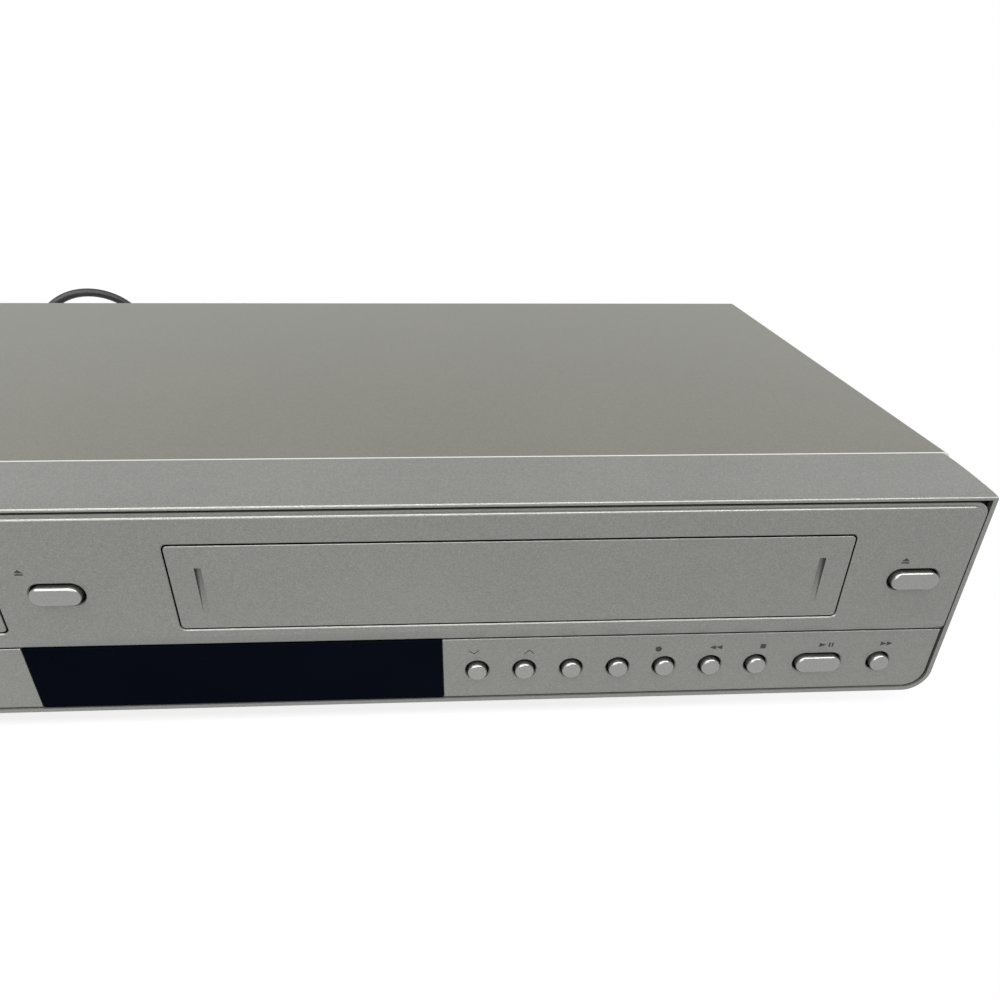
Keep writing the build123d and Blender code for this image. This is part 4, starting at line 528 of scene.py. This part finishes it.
class PLAYER_OT_front(bpy.types.Operator):
    """Paints the front mouldings"""

    bl_idname = "player.front"
    bl_label = "Paint front"

    def execute(self, context):
        """Gives the bezel, the fascia, the panels and the doors their metallic paint."""
        paint = context.scene.player_paint
        look = (paint.front, paint.flake, 0.75, 0.33, 0.15)
        # the masks add near-black walls and web: unpainted moulding, and painted shade in the gaps, holes
        # and grooves
        dress(flake_paint("bezel_paint", *look, recess_mask), "front_bezel")
        walls = [wall_mask(name, OPENING_GAP) for name in ("cassette_flap", "tray_front")]
        for key in ("open_close_button", "eject_button"):
            walls.append(wall_mask(key, 0.0, KEY_PROUD + DARK_WALL_DEPTH))
        dress(flake_paint("fascia_paint", *look, *walls), "upper_fascia")
        dress(flake_paint("left_panel_paint", *look, wall_mask("lower_left_panel")), "lower_left_panel")
        dress(flake_paint("key_panel_paint", *look, wall_mask("button_panel")), "button_panel")
        tray_walls = wall_mask("tray_front", 0.0, TRAY_DARK_WALL_DEPTH)
        dress(flake_paint("tray_front_paint", *look, tray_walls), "tray_front")
        # the door's grooves get painted shade and its edges near-black walls: unpainted moulding and painted
        # shade in the gap
        dress(flake_paint("door_paint", *look, groove_mask, door_wall_mask), "cassette_flap")
        return {"FINISHED"}


class PLAYER_OT_keys(bpy.types.Operator):
    """Paints the keys"""

    bl_idname = "player.keys"
    bl_label = "Paint keys"

    def execute(self, context):
        """Gives every key its brighter, glossier paint."""
        paint = context.scene.player_paint
        keys = [name for name in frame["nodes"] if name.endswith("_button")]
        dress(flake_paint("key_paint", paint.keys, paint.flake / 2, 0.9, 0.20, 0.4), *keys)
        return {"FINISHED"}


class PLAYER_OT_window(bpy.types.Operator):
    """Finishes the display window"""

    bl_idname = "player.window"
    bl_label = "Finish window"

    def execute(self, context):
        """Gives the window a deep smoked gloss with faint dust and hairlines."""
        finish = Finish("smoked_window", {"Specular IOR Level": 0.0, "IOR": 1.45})
        colour = context.scene.player_paint.window
        dust = finish.noise(0.35 * MM, 2.0).ramp(0.70, 0.82)
        depth = finish.noise(45 * MM, 2.0)
        deep = finish.mix(depth, tone(colour, 0.75), tone(colour, 1.35))
        finish.feed("Base Color", finish.mix(dust * 0.05, deep, (0.25, 0.25, 0.25, 1.0)))
        hairs = finish.noise(9 * MM, 2.0, 0.5, finish.stretched((1, 1, 30)))
        finish.feed("Roughness", 0.07 + dust * 0.25 + hairs * 0.04)
        finish.bump(hairs, 0.001 * MM)
        dress(finish.material, "display_window")
        return {"FINISHED"}


class PLAYER_OT_metalwork(bpy.types.Operator):
    """Finishes the sheet metal, rods, motors and screws"""

    bl_idname = "player.metalwork"
    bl_label = "Finish metalwork"

    def execute(self, context):
        """Gives every bare metal piece its plating, turning or polish."""
        zinc = context.scene.player_paint.zinc
        sheet = ("bottom_chassis", "rear_panel", "deck_chassis", "cassette_carriage", "carriage_rails")
        dress(plated("zinc_sheet", zinc, 0.42), *sheet)
        pressed = ("clamp_bridge", "sled_base", "pinch_arm", "tuner_module", "flap_spring")
        dress(plated("pressed_steel", zinc, 0.36, 3 * MM, (40, 1, 1)), *pressed)
        cans = ("deck_motor", "loader_motor", "spindle_motor")
        dress(plated("motor_can", (0.50, 0.50, 0.50), 0.30, 2 * MM, (1, 1, 90)), *cans)
        rods = ("guide_rods", "lead_screw", "capstan")
        dress(plated("ground_steel", (0.62, 0.62, 0.63), 0.16, 1 * MM, (40, 1, 40)), *rods)
        drums = ("drum_base", "head_drum")
        dress(plated("turned_aluminium", (0.78, 0.79, 0.80), 0.20, 1 * MM, (1, 1, 120)), *drums)
        dress(plated("dark_screw", (0.20, 0.20, 0.21), 0.34, 1.5 * MM, (30, 30, 30)), "case_screws")
        return {"FINISHED"}


class PLAYER_OT_mouldings(bpy.types.Operator):
    """Finishes the unpainted plastic and rubber pieces"""

    bl_idname = "player.mouldings"
    bl_label = "Finish mouldings"

    def execute(self, context):
        """Gives the frames, the tray, the gears, the reels and the feet their plastics."""
        black = context.scene.player_paint.black
        loader = ("loader_frame", "pickup_sled", "turntable", "disc_clamp")
        dress(moulded("black_moulding", black, 0.48), *loader)
        dress(moulded("tray_moulding", (0.030, 0.030, 0.033), 0.38), "disc_tray")
        reels = ("supply_reel_table", "take_up_reel_table")
        dress(moulded("reel_moulding", (0.40, 0.40, 0.38), 0.40), *reels)
        dress(moulded("natural_acetal", (0.70, 0.69, 0.64), 0.34, 0.5 * MM, 0.01 * MM), "tray_gear")
        dress(moulded("foot_rubber", (0.020, 0.020, 0.020), 0.70, 0.4 * MM, 0.04 * MM), "feet")
        dress(moulded("belt_rubber", (0.012, 0.012, 0.012), 0.60), "loader_belt", "pinch_roller")
        dress(moulded("relief_moulding", black, 0.55, 0.3 * MM), "strain_relief")
        return {"FINISHED"}


class PLAYER_OT_boards(bpy.types.Operator):
    """Finishes the circuit boards"""

    bl_idname = "player.boards"
    bl_label = "Finish boards"

    def execute(self, context):
        """Gives the boards green mask with tracks and bright metal pads."""
        colour = context.scene.player_paint.board
        finish = Finish("circuit_board", {"IOR": 1.5})
        bricks = {"Vector": finish.where(), "Scale": 140.0}
        tracks = finish.node("ShaderNodeTexBrick", {"offset": 0.37}, bricks, 1)
        pads = finish.cells(2.6 * MM, "Distance") < 0.23
        green = finish.mix(tracks * 0.45, tone(colour, 1.0), tone(colour, 1.7))
        face = finish.mix(pads, green, (0.55, 0.54, 0.50, 1.0))
        finish.feed("Base Color", face)
        finish.feed("Metallic", pads * 0.9)
        finish.feed("Roughness", 0.32 - pads * 0.08)
        finish.bump(tracks * 0.5 + pads * 0.5, 0.03 * MM)
        dress(finish.material, "front_board", "main_board", "power_board")
        return {"FINISHED"}


# ---- sockets ----
FRONT_PITCH = 16.0 * MM
BARREL_R = 4.18 * MM  # just outside a front socket's barrel
COLLAR_SLEEVE_R = 5.05 * MM  # the rear housing's sleeve, which the collar steps over
COLLAR_INNER_R = 4.2 * MM
COLLAR_OUTER_R = 6.3 * MM
COLLAR_T = 1.4 * MM
COLLAR_EDGE = 0.35 * MM
RING_BORE_R = 1.75 * MM  # the coloured ring in a barrel's mouth
RING_OUTER_R = 3.3 * MM
RING_SUNK = 0.25 * MM
RING_BACK = 0.95 * MM
RING_EDGE = 0.3 * MM
SOCKET_COLOURS = {
    "yellow": (0.72, 0.50, 0.02),
    "white": (0.75, 0.75, 0.73),
    "red": (0.52, 0.02, 0.02),
    "green": (0.03, 0.30, 0.06),
    "blue": (0.02, 0.08, 0.42),
    "black": (0.02, 0.02, 0.02),
}
COLUMN_COLOURS = (  # each column of rear sockets from the top down
    ("yellow", "white", "red"),
    ("yellow", "white", "red"),
    ("green", "blue", "red"),
    ("yellow", "white", "red"),
    ("black", "white", "red"),
)


def socket_axes(colour):
    """The X and Z of the rear sockets that have one colour, from the record's mounts."""
    mounts = {mount["name"]: mount["pos_m"] for mount in frame["record"]["mounts"]}
    places = []
    for column, colours in enumerate(COLUMN_COLOURS, 1):
        for row, own in zip(range(len(colours), 0, -1), colours):
            if own == colour:
                x, _, z = mounts[f"rear_socket_{column}_{row}"]
                places.append((x, z))
    return places


def socket_metal():
    """Nickel on what stands out of the rear panel, black moulding behind it."""
    finish = Finish("socket_nickel", {"IOR": 1.5})
    outside = finish.axis(1) > REAR_Y
    wear = finish.noise(1.2 * MM, 3.0)
    nickel = finish.mix(wear, (0.50, 0.48, 0.43, 1.0), (0.70, 0.68, 0.63, 1.0))
    finish.feed("Base Color", finish.mix(outside, (0.015, 0.015, 0.015, 1.0), nickel))
    finish.feed("Metallic", outside)
    finish.feed("Roughness", 0.5 - outside * 0.26 + wear * 0.08)
    finish.bump(wear, 0.004 * MM)
    return finish.material


def front_socket_finish():
    """Nickel barrels inside collars of yellow, white and red, told apart by their distance from the axes."""
    finish = Finish("front_socket_parts", {"IOR": 1.5})
    middle = middle_of("front_av_sockets")
    steps = (finish.axis(0) - middle.x) / FRONT_PITCH
    number = steps.rounded()
    aside = (steps - number) * FRONT_PITCH
    above = finish.axis(2) - middle.z
    radius = (aside * aside + above * above).power(0.5)
    ring = radius > BARREL_R
    grain = finish.noise(0.5 * MM, 2.0)
    yellow, white, red = [tone(SOCKET_COLOURS[name], 1.0) for name in ("yellow", "white", "red")]
    colour = finish.mix(number < -0.5, white, yellow)
    colour = finish.mix(number > 0.5, colour, red)
    nickel = finish.mix(grain, (0.52, 0.50, 0.45, 1.0), (0.70, 0.68, 0.63, 1.0))
    finish.feed("Base Color", finish.mix(ring, nickel, colour))
    finish.feed("Metallic", 1 - ring)
    finish.feed("Roughness", 0.24 + ring * 0.16 + grain * 0.06)
    finish.bump(grain, 0.006 * MM)
    return finish.material


def collar(x, z):
    """A moulded ring round the foot of a barrel, resting on the panel and stepped over the housing's
    sleeve: its profile is turned round the barrel's axis."""
    profile = [
        (COLLAR_SLEEVE_R, 0),
        (COLLAR_OUTER_R, 0),
        (COLLAR_OUTER_R, COLLAR_T - COLLAR_EDGE),
        (COLLAR_OUTER_R - COLLAR_EDGE, COLLAR_T),
        (COLLAR_INNER_R, COLLAR_T),
        (COLLAR_INNER_R, COLLAR_EDGE),
        (COLLAR_SLEEVE_R, COLLAR_EDGE),
    ]
    return lathe(profile, (x, REAR_Y, z))


def insulator(x, z):
    """The coloured ring in a barrel's mouth, round the contact's bore: a profile turned round the axis."""
    profile = [
        (RING_BORE_R, -RING_BACK),
        (RING_OUTER_R, -RING_BACK),
        (RING_OUTER_R, -RING_SUNK),
        (RING_BORE_R + RING_EDGE, -RING_SUNK),
        (RING_BORE_R, -RING_SUNK - RING_EDGE),
    ]
    return lathe(profile, (x, SOCKET_END_Y, z))


class PLAYER_OT_sockets(bpy.types.Operator):
    """Finishes the sockets and adds their coloured rings"""

    bl_idname = "player.sockets"
    bl_label = "Finish sockets"

    def execute(self, context):
        """Gives the barrels their plating, and each its collar and insulator."""
        dress(socket_metal(), "rear_sockets")
        dress(front_socket_finish(), "front_av_sockets")
        for name, colour in SOCKET_COLOURS.items():
            shapes = [shape(x, z) for x, z in socket_axes(name) for shape in (collar, insulator)]
            material = moulded(f"socket_{name}", colour, 0.36, 0.4 * MM, 0.01 * MM)
            rings = piece(f"{name}_socket_rings", *gather(shapes), CASE, "black_plastic", material)
            sharpen(rings)
        return {"FINISHED"}


# ---- printed symbols ----
# outlines in millimetres about their own middle
INK_T = 0.05 * MM
INK_PROUD = 0.03 * MM
CHEVRON_W = 3.1
CHEVRON_H = 1.3
CHEVRON_LINE = 0.34
TALL = 1.7  # height of the play, rewind and fast-forward triangles and of the pause bars
RIGHT, LEFT, UP = (1, 0), (-1, 0), (0, 1)


def triangle(wide, tall, way):
    """A filled triangle, wide and tall overall, that points along way."""
    along, across = np.array([[-0.5, -0.5], [-0.5, 0.5], [0.5, 0.0]]).T
    dx, dy = way
    return np.column_stack([(along * dx + across * dy) * wide, (along * dy + across * dx) * tall])


def bar(wide, tall):
    """A filled rectangle."""
    return np.array([[-0.5, -0.5], [0.5, -0.5], [0.5, 0.5], [-0.5, 0.5]]) * (wide, tall)


def dot(size):
    """A filled circle."""
    angle = np.arange(32) * 2 * math.pi / 32
    return np.column_stack([np.cos(angle), np.sin(angle)]) * size / 2


def chevron(way):
    """An open arrowhead of one line width that points up where way is 1 and down where it is -1."""
    half, rise = CHEVRON_W / 2, CHEVRON_H / 2
    upper = np.array([[-half, -rise], [0, rise], [half, -rise]])
    lower = upper[::-1] - (0, CHEVRON_LINE)
    return np.concatenate([upper, lower]) * (1, way)


# each symbol's key, how far right of the key's middle and above it the symbol stands, and its outline
LOWER_SYMBOLS = (
    ("channel_down_button", -1.002, 7.15, chevron(-1)),
    ("channel_up_button", 1.448, 7.15, chevron(1)),
    ("record_button", -2.402, 6.95, dot(2.1)),
    ("rewind_button", 0.098, 7.15, triangle(2.0, TALL, LEFT)),
    ("rewind_button", 2.148, 7.15, triangle(2.0, TALL, LEFT)),
    ("stop_button", 1.398, 7.15, bar(1.8, 1.8)),
    ("play_pause_button", 0.5, 7.15, triangle(2.3, TALL, RIGHT)),
    ("play_pause_button", 2.7, 7.15, bar(0.55, TALL)),
    ("play_pause_button", 3.7, 7.15, bar(0.55, TALL)),
    ("fast_forward_button", 0.198, 7.15, triangle(2.0, TALL, RIGHT)),
    ("fast_forward_button", 2.198, 7.15, triangle(2.0, TALL, RIGHT)),
)
UPPER_SYMBOLS = (
    ("open_close_button", -8.6, 8.20, triangle(2.4, 1.2, UP)),
    ("open_close_button", -8.6, 7.05, bar(2.4, 0.5)),
    ("eject_button", -4.2, 7.20, triangle(2.4, 1.2, UP)),
    ("eject_button", -4.2, 6.05, bar(2.4, 0.5)),
)


def printed(symbols, face):
    """A thin layer of ink on a face for each symbol."""
    shapes = []
    for key, across, up, outline in symbols:
        middle = middle_of(key)
        shift = (middle.x + across * MM, middle.z + up * MM)
        shapes.append(prism(outline * MM + shift, face - INK_PROUD, INK_T))
    return gather(shapes)


class PLAYER_OT_symbols(bpy.types.Operator):
    """Prints the plain transport symbols over the keys"""

    bl_idname = "player.symbols"
    bl_label = "Print symbols"

    def execute(self, context):
        """Lays the symbols of the lower and of the upper keys on their panels."""
        ink = moulded("print_ink", context.scene.player_paint.print_ink, 0.50, 0.1 * MM, 0.002 * MM)
        rows = {"key_symbols": (LOWER_SYMBOLS, STRIP_Y), "eject_symbols": (UPPER_SYMBOLS, FACE_Y)}
        for name, (symbols, face) in rows.items():
            piece(name, *printed(symbols, face), CASE, "black_plastic", ink, smooth=False)
        return {"FINISHED"}


# ---- mains lead ----
# each point's distance right of the exit, behind the rear panel and above the resting surface
LEAD_ROUTE = (
    (0.0, 20.0, 25.5),
    (0.0, 30.5, 25.5),
    (-0.2, 42.3, 31.1),
    (0.0, 51.5, 42.9),
    (1.2, 53.5, 57.7),
    (9.3, 56.3, 69.8),
    (21.9, 60.9, 76.7),
    (36.0, 66.0, 76.4),
    (48.6, 70.6, 69.6),
    (56.8, 73.7, 57.5),
    (60.2, 75.1, 41.0),
    (67.4, 78.0, 26.0),
    (78.7, 81.8, 15.7),
    (94.2, 87.4, 9.2),
    (114.5, 92.3, 3.5),
    (136.0, 92.3, 3.5),
)
COIL_MIDDLE = (141.0, 57.8)  # right of the exit and behind the rear panel
HALF_TURNS = 12
LAYER_TURNS = HALF_TURNS // 2 - 1  # half turns before the second layer
HALF_POINTS = 8
FLOOR_GAP = 1.0 * MM
LEAD_X = middle_of("strain_relief").x


def coil_points(lead):
    """Control points of the coil: each half turn is a half circle between two stops on the line
    through the coil's middle. Eight points on the tangent polygon of each half circle stand at
    radius r / cos(180/16 degrees), so the smooth line touches the circle between every two of them."""
    low = FLOOR_GAP + lead.thickness / 2
    spot, radius, way, bulge = lead.coil_radius, lead.coil_radius, -1, 1
    z = low
    runs = []
    for number in range(HALF_TURNS):
        after = spot + 2 * way * radius
        climb = low + (lead.layer_step if number >= LAYER_TURNS else 0.0)
        angle = (np.arange(HALF_POINTS) + 0.5) * math.pi / HALF_POINTS
        reach = radius / math.cos(math.pi / (2 * HALF_POINTS))
        middle = (spot + after) / 2
        y = middle - way * reach * np.cos(angle)
        x = bulge * reach * np.sin(angle)
        runs.append(np.column_stack([x, y, z + (climb - z) * (1 - np.cos(angle)) / 2]))
        radius += lead.turn_step / 2 * (1 if number >= LAYER_TURNS else -1)
        spot, way, bulge, z = after, -way, -bulge, climb
    end = np.array([[0.0, spot, z], [lead.tail / 2, spot, z], [lead.tail, spot, z]])
    middle = np.array([LEAD_X + COIL_MIDDLE[0] * MM, REAR_Y + COIL_MIDDLE[1] * MM, 0.0])
    return np.concatenate(runs + [end]) + middle


def lead_points(lead):
    """The free lead's listed points followed by the coil's."""
    route = np.array(LEAD_ROUTE) * MM + (LEAD_X, REAR_Y, 0.0)
    return np.concatenate([route, coil_points(lead)])


def sheath():
    """Flexible black sheath: satin, with a very fine pebble and slight scuffs."""
    finish = Finish("lead_sheath", {"IOR": 1.48})
    pebble = finish.noise(0.3 * MM, 2.0)
    scuff = finish.noise(14 * MM, 3.0).ramp(0.5, 0.8)
    dark, worn = (0.010, 0.010, 0.011, 1.0), (0.034, 0.034, 0.036, 1.0)
    finish.feed("Base Color", finish.mix(scuff * 0.5 + pebble * 0.3, dark, worn))
    finish.feed("Roughness", 0.38 + pebble * 0.12 + scuff * 0.12)
    finish.bump(pebble, 0.02 * MM)
    return finish.material


PLUG_NECK_L = 14 * MM
PLUG_NECK_STEP = 0.4 * MM  # from the neck's last ring to the body's first
PLUG_BLADE_L = 17 * MM
PLUG_MARGIN = 0.8 * MM  # room that the body leaves in its node's box
NECK_WALL = 1.6 * MM
NECK_SPREAD = 3.4 * MM
NECK_NOTCH = 0.9 * MM
NECK_NOTCHES = 4
GRIP_RIDGE = 0.35 * MM
GRIP_RIDGES = 9
BLADE_ROOT = 0.4 * MM  # how far a blade reaches into the body
BLADE_TIP_L = 1.6 * MM
BLADE_TIP_CUT = 1.8 * MM
BLADE_AWAY = 6.35 * MM  # from the plug's middle
BLADE_HEIGHTS = {-1: 6.3 * MM, 1: 7.9 * MM}
BLADE_THICK = np.array([1.5, 1.5, 0.7]) * MM  # at the root, before the tip and at the tip
TIE_T = 0.8 * MM


def plug_body(lead, material):
    """A moulded plug along +X: rings of superellipses whose width, height and power follow its length,
    with grip ridges as a raised sine on the sides and notches cut round the neck."""
    low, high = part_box("power_plug")
    middle = middle_of("power_plug")
    neck_end = low.x + PLUG_NECK_L
    body_end = high.x - PLUG_BLADE_L
    neck_x = np.linspace(low.x, neck_end, 29)
    x = np.concatenate([neck_x, np.linspace(neck_end + PLUG_NECK_STEP, body_end, 60)])
    share = np.clip((x - low.x) / (neck_end - low.x), 0, 1)
    body = np.clip((x - neck_end) / (body_end - neck_end), 0, 1)
    swell = np.clip(body / 0.16, 0, 1)
    swell = swell * swell * (3 - 2 * swell)
    ease = 1 - np.clip((body - 0.93) / 0.07, 0, 1) ** 2 * 0.10
    neck = lead.thickness + NECK_WALL + share * NECK_SPREAD
    neck = neck - NECK_NOTCH * (np.cos(share * 2 * math.pi * NECK_NOTCHES) > 0.2) * (share < 0.9)
    ridge = GRIP_RIDGE * np.sin(body * 2 * math.pi * GRIP_RIDGES) * (body > 0.3) * (body < 0.85)
    wide = (neck + (high.y - low.y - neck - PLUG_MARGIN) * swell) * ease + ridge
    tall = (neck + (high.z - low.z - neck - PLUG_MARGIN) * swell) * ease
    u, v = superellipse(wide, tall, 2 + 2.2 * swell, 56)
    rings = np.stack(np.broadcast_arrays(x[:, None], middle.y + u, middle.z + v), -1)
    return piece("mains_plug", rings, ring_faces(*u.shape), CASE, "cord_pvc", material)


def plug_blades(metal):
    """Two flat blades, one wider than the other: rings of rounded rectangles that narrow at the tip."""
    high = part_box("power_plug")[1]
    middle = middle_of("power_plug")
    x = np.array([[high.x - PLUG_BLADE_L - BLADE_ROOT], [high.x - BLADE_TIP_L], [high.x]])
    shapes = []
    for side, height in BLADE_HEIGHTS.items():
        u, v = superellipse(BLADE_THICK, height - np.array([0, 0, BLADE_TIP_CUT]), 12, 32)
        rings = np.stack(np.broadcast_arrays(x, middle.y + side * BLADE_AWAY + u, middle.z + v), -1)
        shapes.append((rings, ring_faces(*u.shape)))
    blades = piece("plug_blades", *gather(shapes), CASE, "socket_metal", metal)
    sharpen(blades)
    return blades


def tie_band(material):
    """A flat band round the coil's turns: a thin rounded strip carried round a superellipse in X and Z."""
    low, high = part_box("cord_tie")
    middle = middle_of("cord_tie")
    right, up = [row.T for row in superellipse(high.x - low.x - TIE_T, high.z - low.z - TIE_T, 5, 96)]
    reach = np.hypot(right, up)
    out, wide = superellipse(TIE_T, high.y - low.y, 6, 24)
    x = middle.x + right + right / reach * out
    z = middle.z + up + up / reach * out
    rings = np.stack(np.broadcast_arrays(x, middle.y + wide, z), -1)
    return piece("lead_tie_band", rings, ring_faces(*x.shape, closed=True), CASE, "cord_pvc", material)


class PLAYER_OT_lead(bpy.types.Operator):
    """Lays the mains lead with its coil, tie and plug"""

    bl_idname = "player.lead"
    bl_label = "Lay mains lead"

    def execute(self, context):
        """Makes one smooth line through the route and the coil, and the pieces on it."""
        lead = context.scene.player_lead
        points = lead_points(lead)
        curve = bpy.data.curves.new("mains_lead", "CURVE")
        curve.dimensions = "3D"
        curve.resolution_u = 8
        curve.bevel_depth = lead.thickness / 2
        curve.bevel_resolution = 5
        curve.use_fill_caps = True
        spline = curve.splines.new("NURBS")
        spline.points.add(len(points) - 1)
        spline.points.foreach_set("co", np.column_stack([points, np.ones(len(points))]).ravel())
        spline.order_u = 3
        spline.use_endpoint_u = True
        black = sheath()
        curve.materials.append(black)
        flex = bpy.data.objects.new("mains_lead", curve)
        context.scene.collection.objects.link(flex)
        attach(flex, CASE)
        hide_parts("power_cord", "cord_coil")
        plug = plug_body(lead, black)
        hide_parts("power_plug")
        blades = plug_blades(plated("blade_nickel", (0.60, 0.58, 0.52), 0.22, 2 * MM, (1, 40, 40)))
        tie = tie_band(moulded("tie_strip", (0.020, 0.020, 0.021), 0.62, 0.5 * MM, 0.05 * MM))
        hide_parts("cord_tie")
        return {"FINISHED"}


# ---- studio ----
FLOOR_SIZE = 6.0
FLOOR_GREY = (0.30, 0.30, 0.30, 1.0)
FLOOR_PALE = (0.95, 0.95, 0.95, 1.0)
SHADOW_REACH = (0.34, 0.30)  # across and along: how far out the floor turns plain white
ROOM_X = (-0.1, 0.6)  # directions from left to right between which the room's level falls off
ROOM_LEVEL = (0.42, 0.18)
# each lamp's name, place, aim, size and power in watts
LAMPS = (
    ("ceiling_lamp", (0.02, -0.50, 1.00), (0.02, -0.10, 0.05), (2.20, 0.50), 22.0),
    ("front_fill", (-0.50, -1.30, 0.55), (0.0, 0.0, 0.05), (1.20, 0.60), 8.0),
)


def area_lamp(name, where, aim, size, power):
    """A soft rectangular lamp that looks at a point."""
    lamp = bpy.data.lights.new(name, "AREA")
    lamp.shape = "RECTANGLE"
    lamp.size, lamp.size_y = size
    lamp.energy = power
    thing = bpy.data.objects.new(name, lamp)
    thing.location = where
    thing.rotation_euler = (Vector(aim) - Vector(where)).to_track_quat("-Z", "Y").to_euler()
    bpy.context.scene.collection.objects.link(thing)


def pale_floor():
    """A floor that the camera and reflections see near white, with a soft shadow under the player, and
    that fades to plain white away from it. What lights the player from below is the floor's grey."""
    finish = Finish("pale_floor", {"Specular IOR Level": 0.0})
    across, along = [finish.axis(number) / reach for number, reach in enumerate(SHADOW_REACH)]
    fade = (across * across + along * along).power(0.5).ramp(0.45, 0.90, 0.80, 1.0)
    seen = finish.seen()
    finish.feed("Base Color", finish.mix(seen, FLOOR_GREY, FLOOR_PALE))
    finish.feed("Roughness", 0.85 + finish.noise(3 * MM) * 0.1)
    glow = finish.node("ShaderNodeEmission", None, {"Color": WHITE})
    finish.show(finish.blend(seen * fade, finish.surface, glow))
    return finish.material


def white_room():
    """The world: plain white where it is seen, also in reflections, and a soft level that falls off to
    the right where it lights the player."""
    world = bpy.data.worlds.new("white_room")
    nodes = Nodes(world, "ShaderNodeOutputWorld")
    towards = nodes.node("ShaderNodeTexCoord", output="Generated")
    rightwards = nodes.node("ShaderNodeSeparateXYZ", None, {0: towards})
    level = nodes.node("ShaderNodeMapRange", None, dict(enumerate((rightwards, *ROOM_X, *ROOM_LEVEL))))
    soft = nodes.node("ShaderNodeBackground", None, {"Color": WHITE, "Strength": level})
    plain = nodes.node("ShaderNodeBackground", None, {"Color": WHITE, "Strength": 1.0})
    nodes.show(nodes.blend(nodes.seen(), soft, plain))
    bpy.context.scene.world = world


class PLAYER_OT_studio(bpy.types.Operator):
    """Sets up the floor, the lamps and the camera"""

    bl_idname = "player.studio"
    bl_label = "Set up studio"

    def execute(self, context):
        """Makes the pale floor, the soft lamps and the camera at its measured place."""
        studio = context.scene.player_studio
        corners = np.array([[-1, -1, 0], [1, -1, 0], [1, 1, 0], [-1, 1, 0]]) * (FLOOR_SIZE / 2)
        mesh = bpy.data.meshes.new("floor")
        mesh.from_pydata(corners, [], [[0, 1, 2, 3]])
        mesh.materials.append(pale_floor())
        floor = bpy.data.objects.new("floor", mesh)
        context.scene.collection.objects.link(floor)
        white_room()
        for name, where, aim, size, power in LAMPS:
            area_lamp(name, where, aim, size, power * studio.lamp_level)
        camera = bpy.data.cameras.new("camera")
        camera.sensor_width = 36.0
        camera.lens = studio.lens
        camera.clip_start = 0.01
        viewer = bpy.data.objects.new("camera", camera)
        viewer.location = (studio.across, FACE_Y - studio.away, BOTTOM_Z + studio.height)
        viewer.rotation_euler = (studio.tilt, studio.roll, studio.turn)
        context.scene.collection.objects.link(viewer)
        context.scene.camera = viewer
        context.scene.view_settings.view_transform = "Standard"
        return {"FINISHED"}


OPERATORS = (
    PLAYER_OT_studio,
    PLAYER_OT_lead,
    PLAYER_OT_cover,
    PLAYER_OT_front,
    PLAYER_OT_keys,
    PLAYER_OT_window,
    PLAYER_OT_symbols,
    PLAYER_OT_sockets,
    PLAYER_OT_metalwork,
    PLAYER_OT_mouldings,
    PLAYER_OT_boards,
)


class PLAYER_PT_dresser(bpy.types.Panel):
    """Lists the steps that dress the player, and the settings they read"""

    bl_idname = "PLAYER_PT_dresser"
    bl_label = "Player"
    bl_space_type = "VIEW_3D"
    bl_region_type = "UI"
    bl_category = "Player"

    def draw(self, context):
        """Draws a button for each step and a field for each setting."""
        for operator in OPERATORS:
            self.layout.operator(operator.bl_idname)
        for group in (context.scene.player_paint, context.scene.player_lead, context.scene.player_studio):
            for setting in group.__annotations__:
                self.layout.prop(group, setting)


SETTINGS = {"player_paint": PaintSettings, "player_lead": LeadSettings, "player_studio": StudioSettings}


def register():
    """Registers the settings, the operators and the panel."""
    for group in SETTINGS.values():
        bpy.utils.register_class(group)
    for name, group in SETTINGS.items():
        setattr(bpy.types.Scene, name, PointerProperty(type=group))
    for operator in OPERATORS:
        bpy.utils.register_class(operator)
    bpy.utils.register_class(PLAYER_PT_dresser)


def unregister():
    """Takes away what register added."""
    bpy.utils.unregister_class(PLAYER_PT_dresser)
    for operator in reversed(OPERATORS):
        bpy.utils.unregister_class(operator)
    for name, group in SETTINGS.items():
        delattr(bpy.types.Scene, name)
        bpy.utils.unregister_class(group)


def main():
    """Dresses the player step by step."""
    register()
    for operator in OPERATORS:
        group, name = operator.bl_idname.split(".")
        getattr(getattr(bpy.ops, group), name)()


if __name__ == "__main__":
    main()
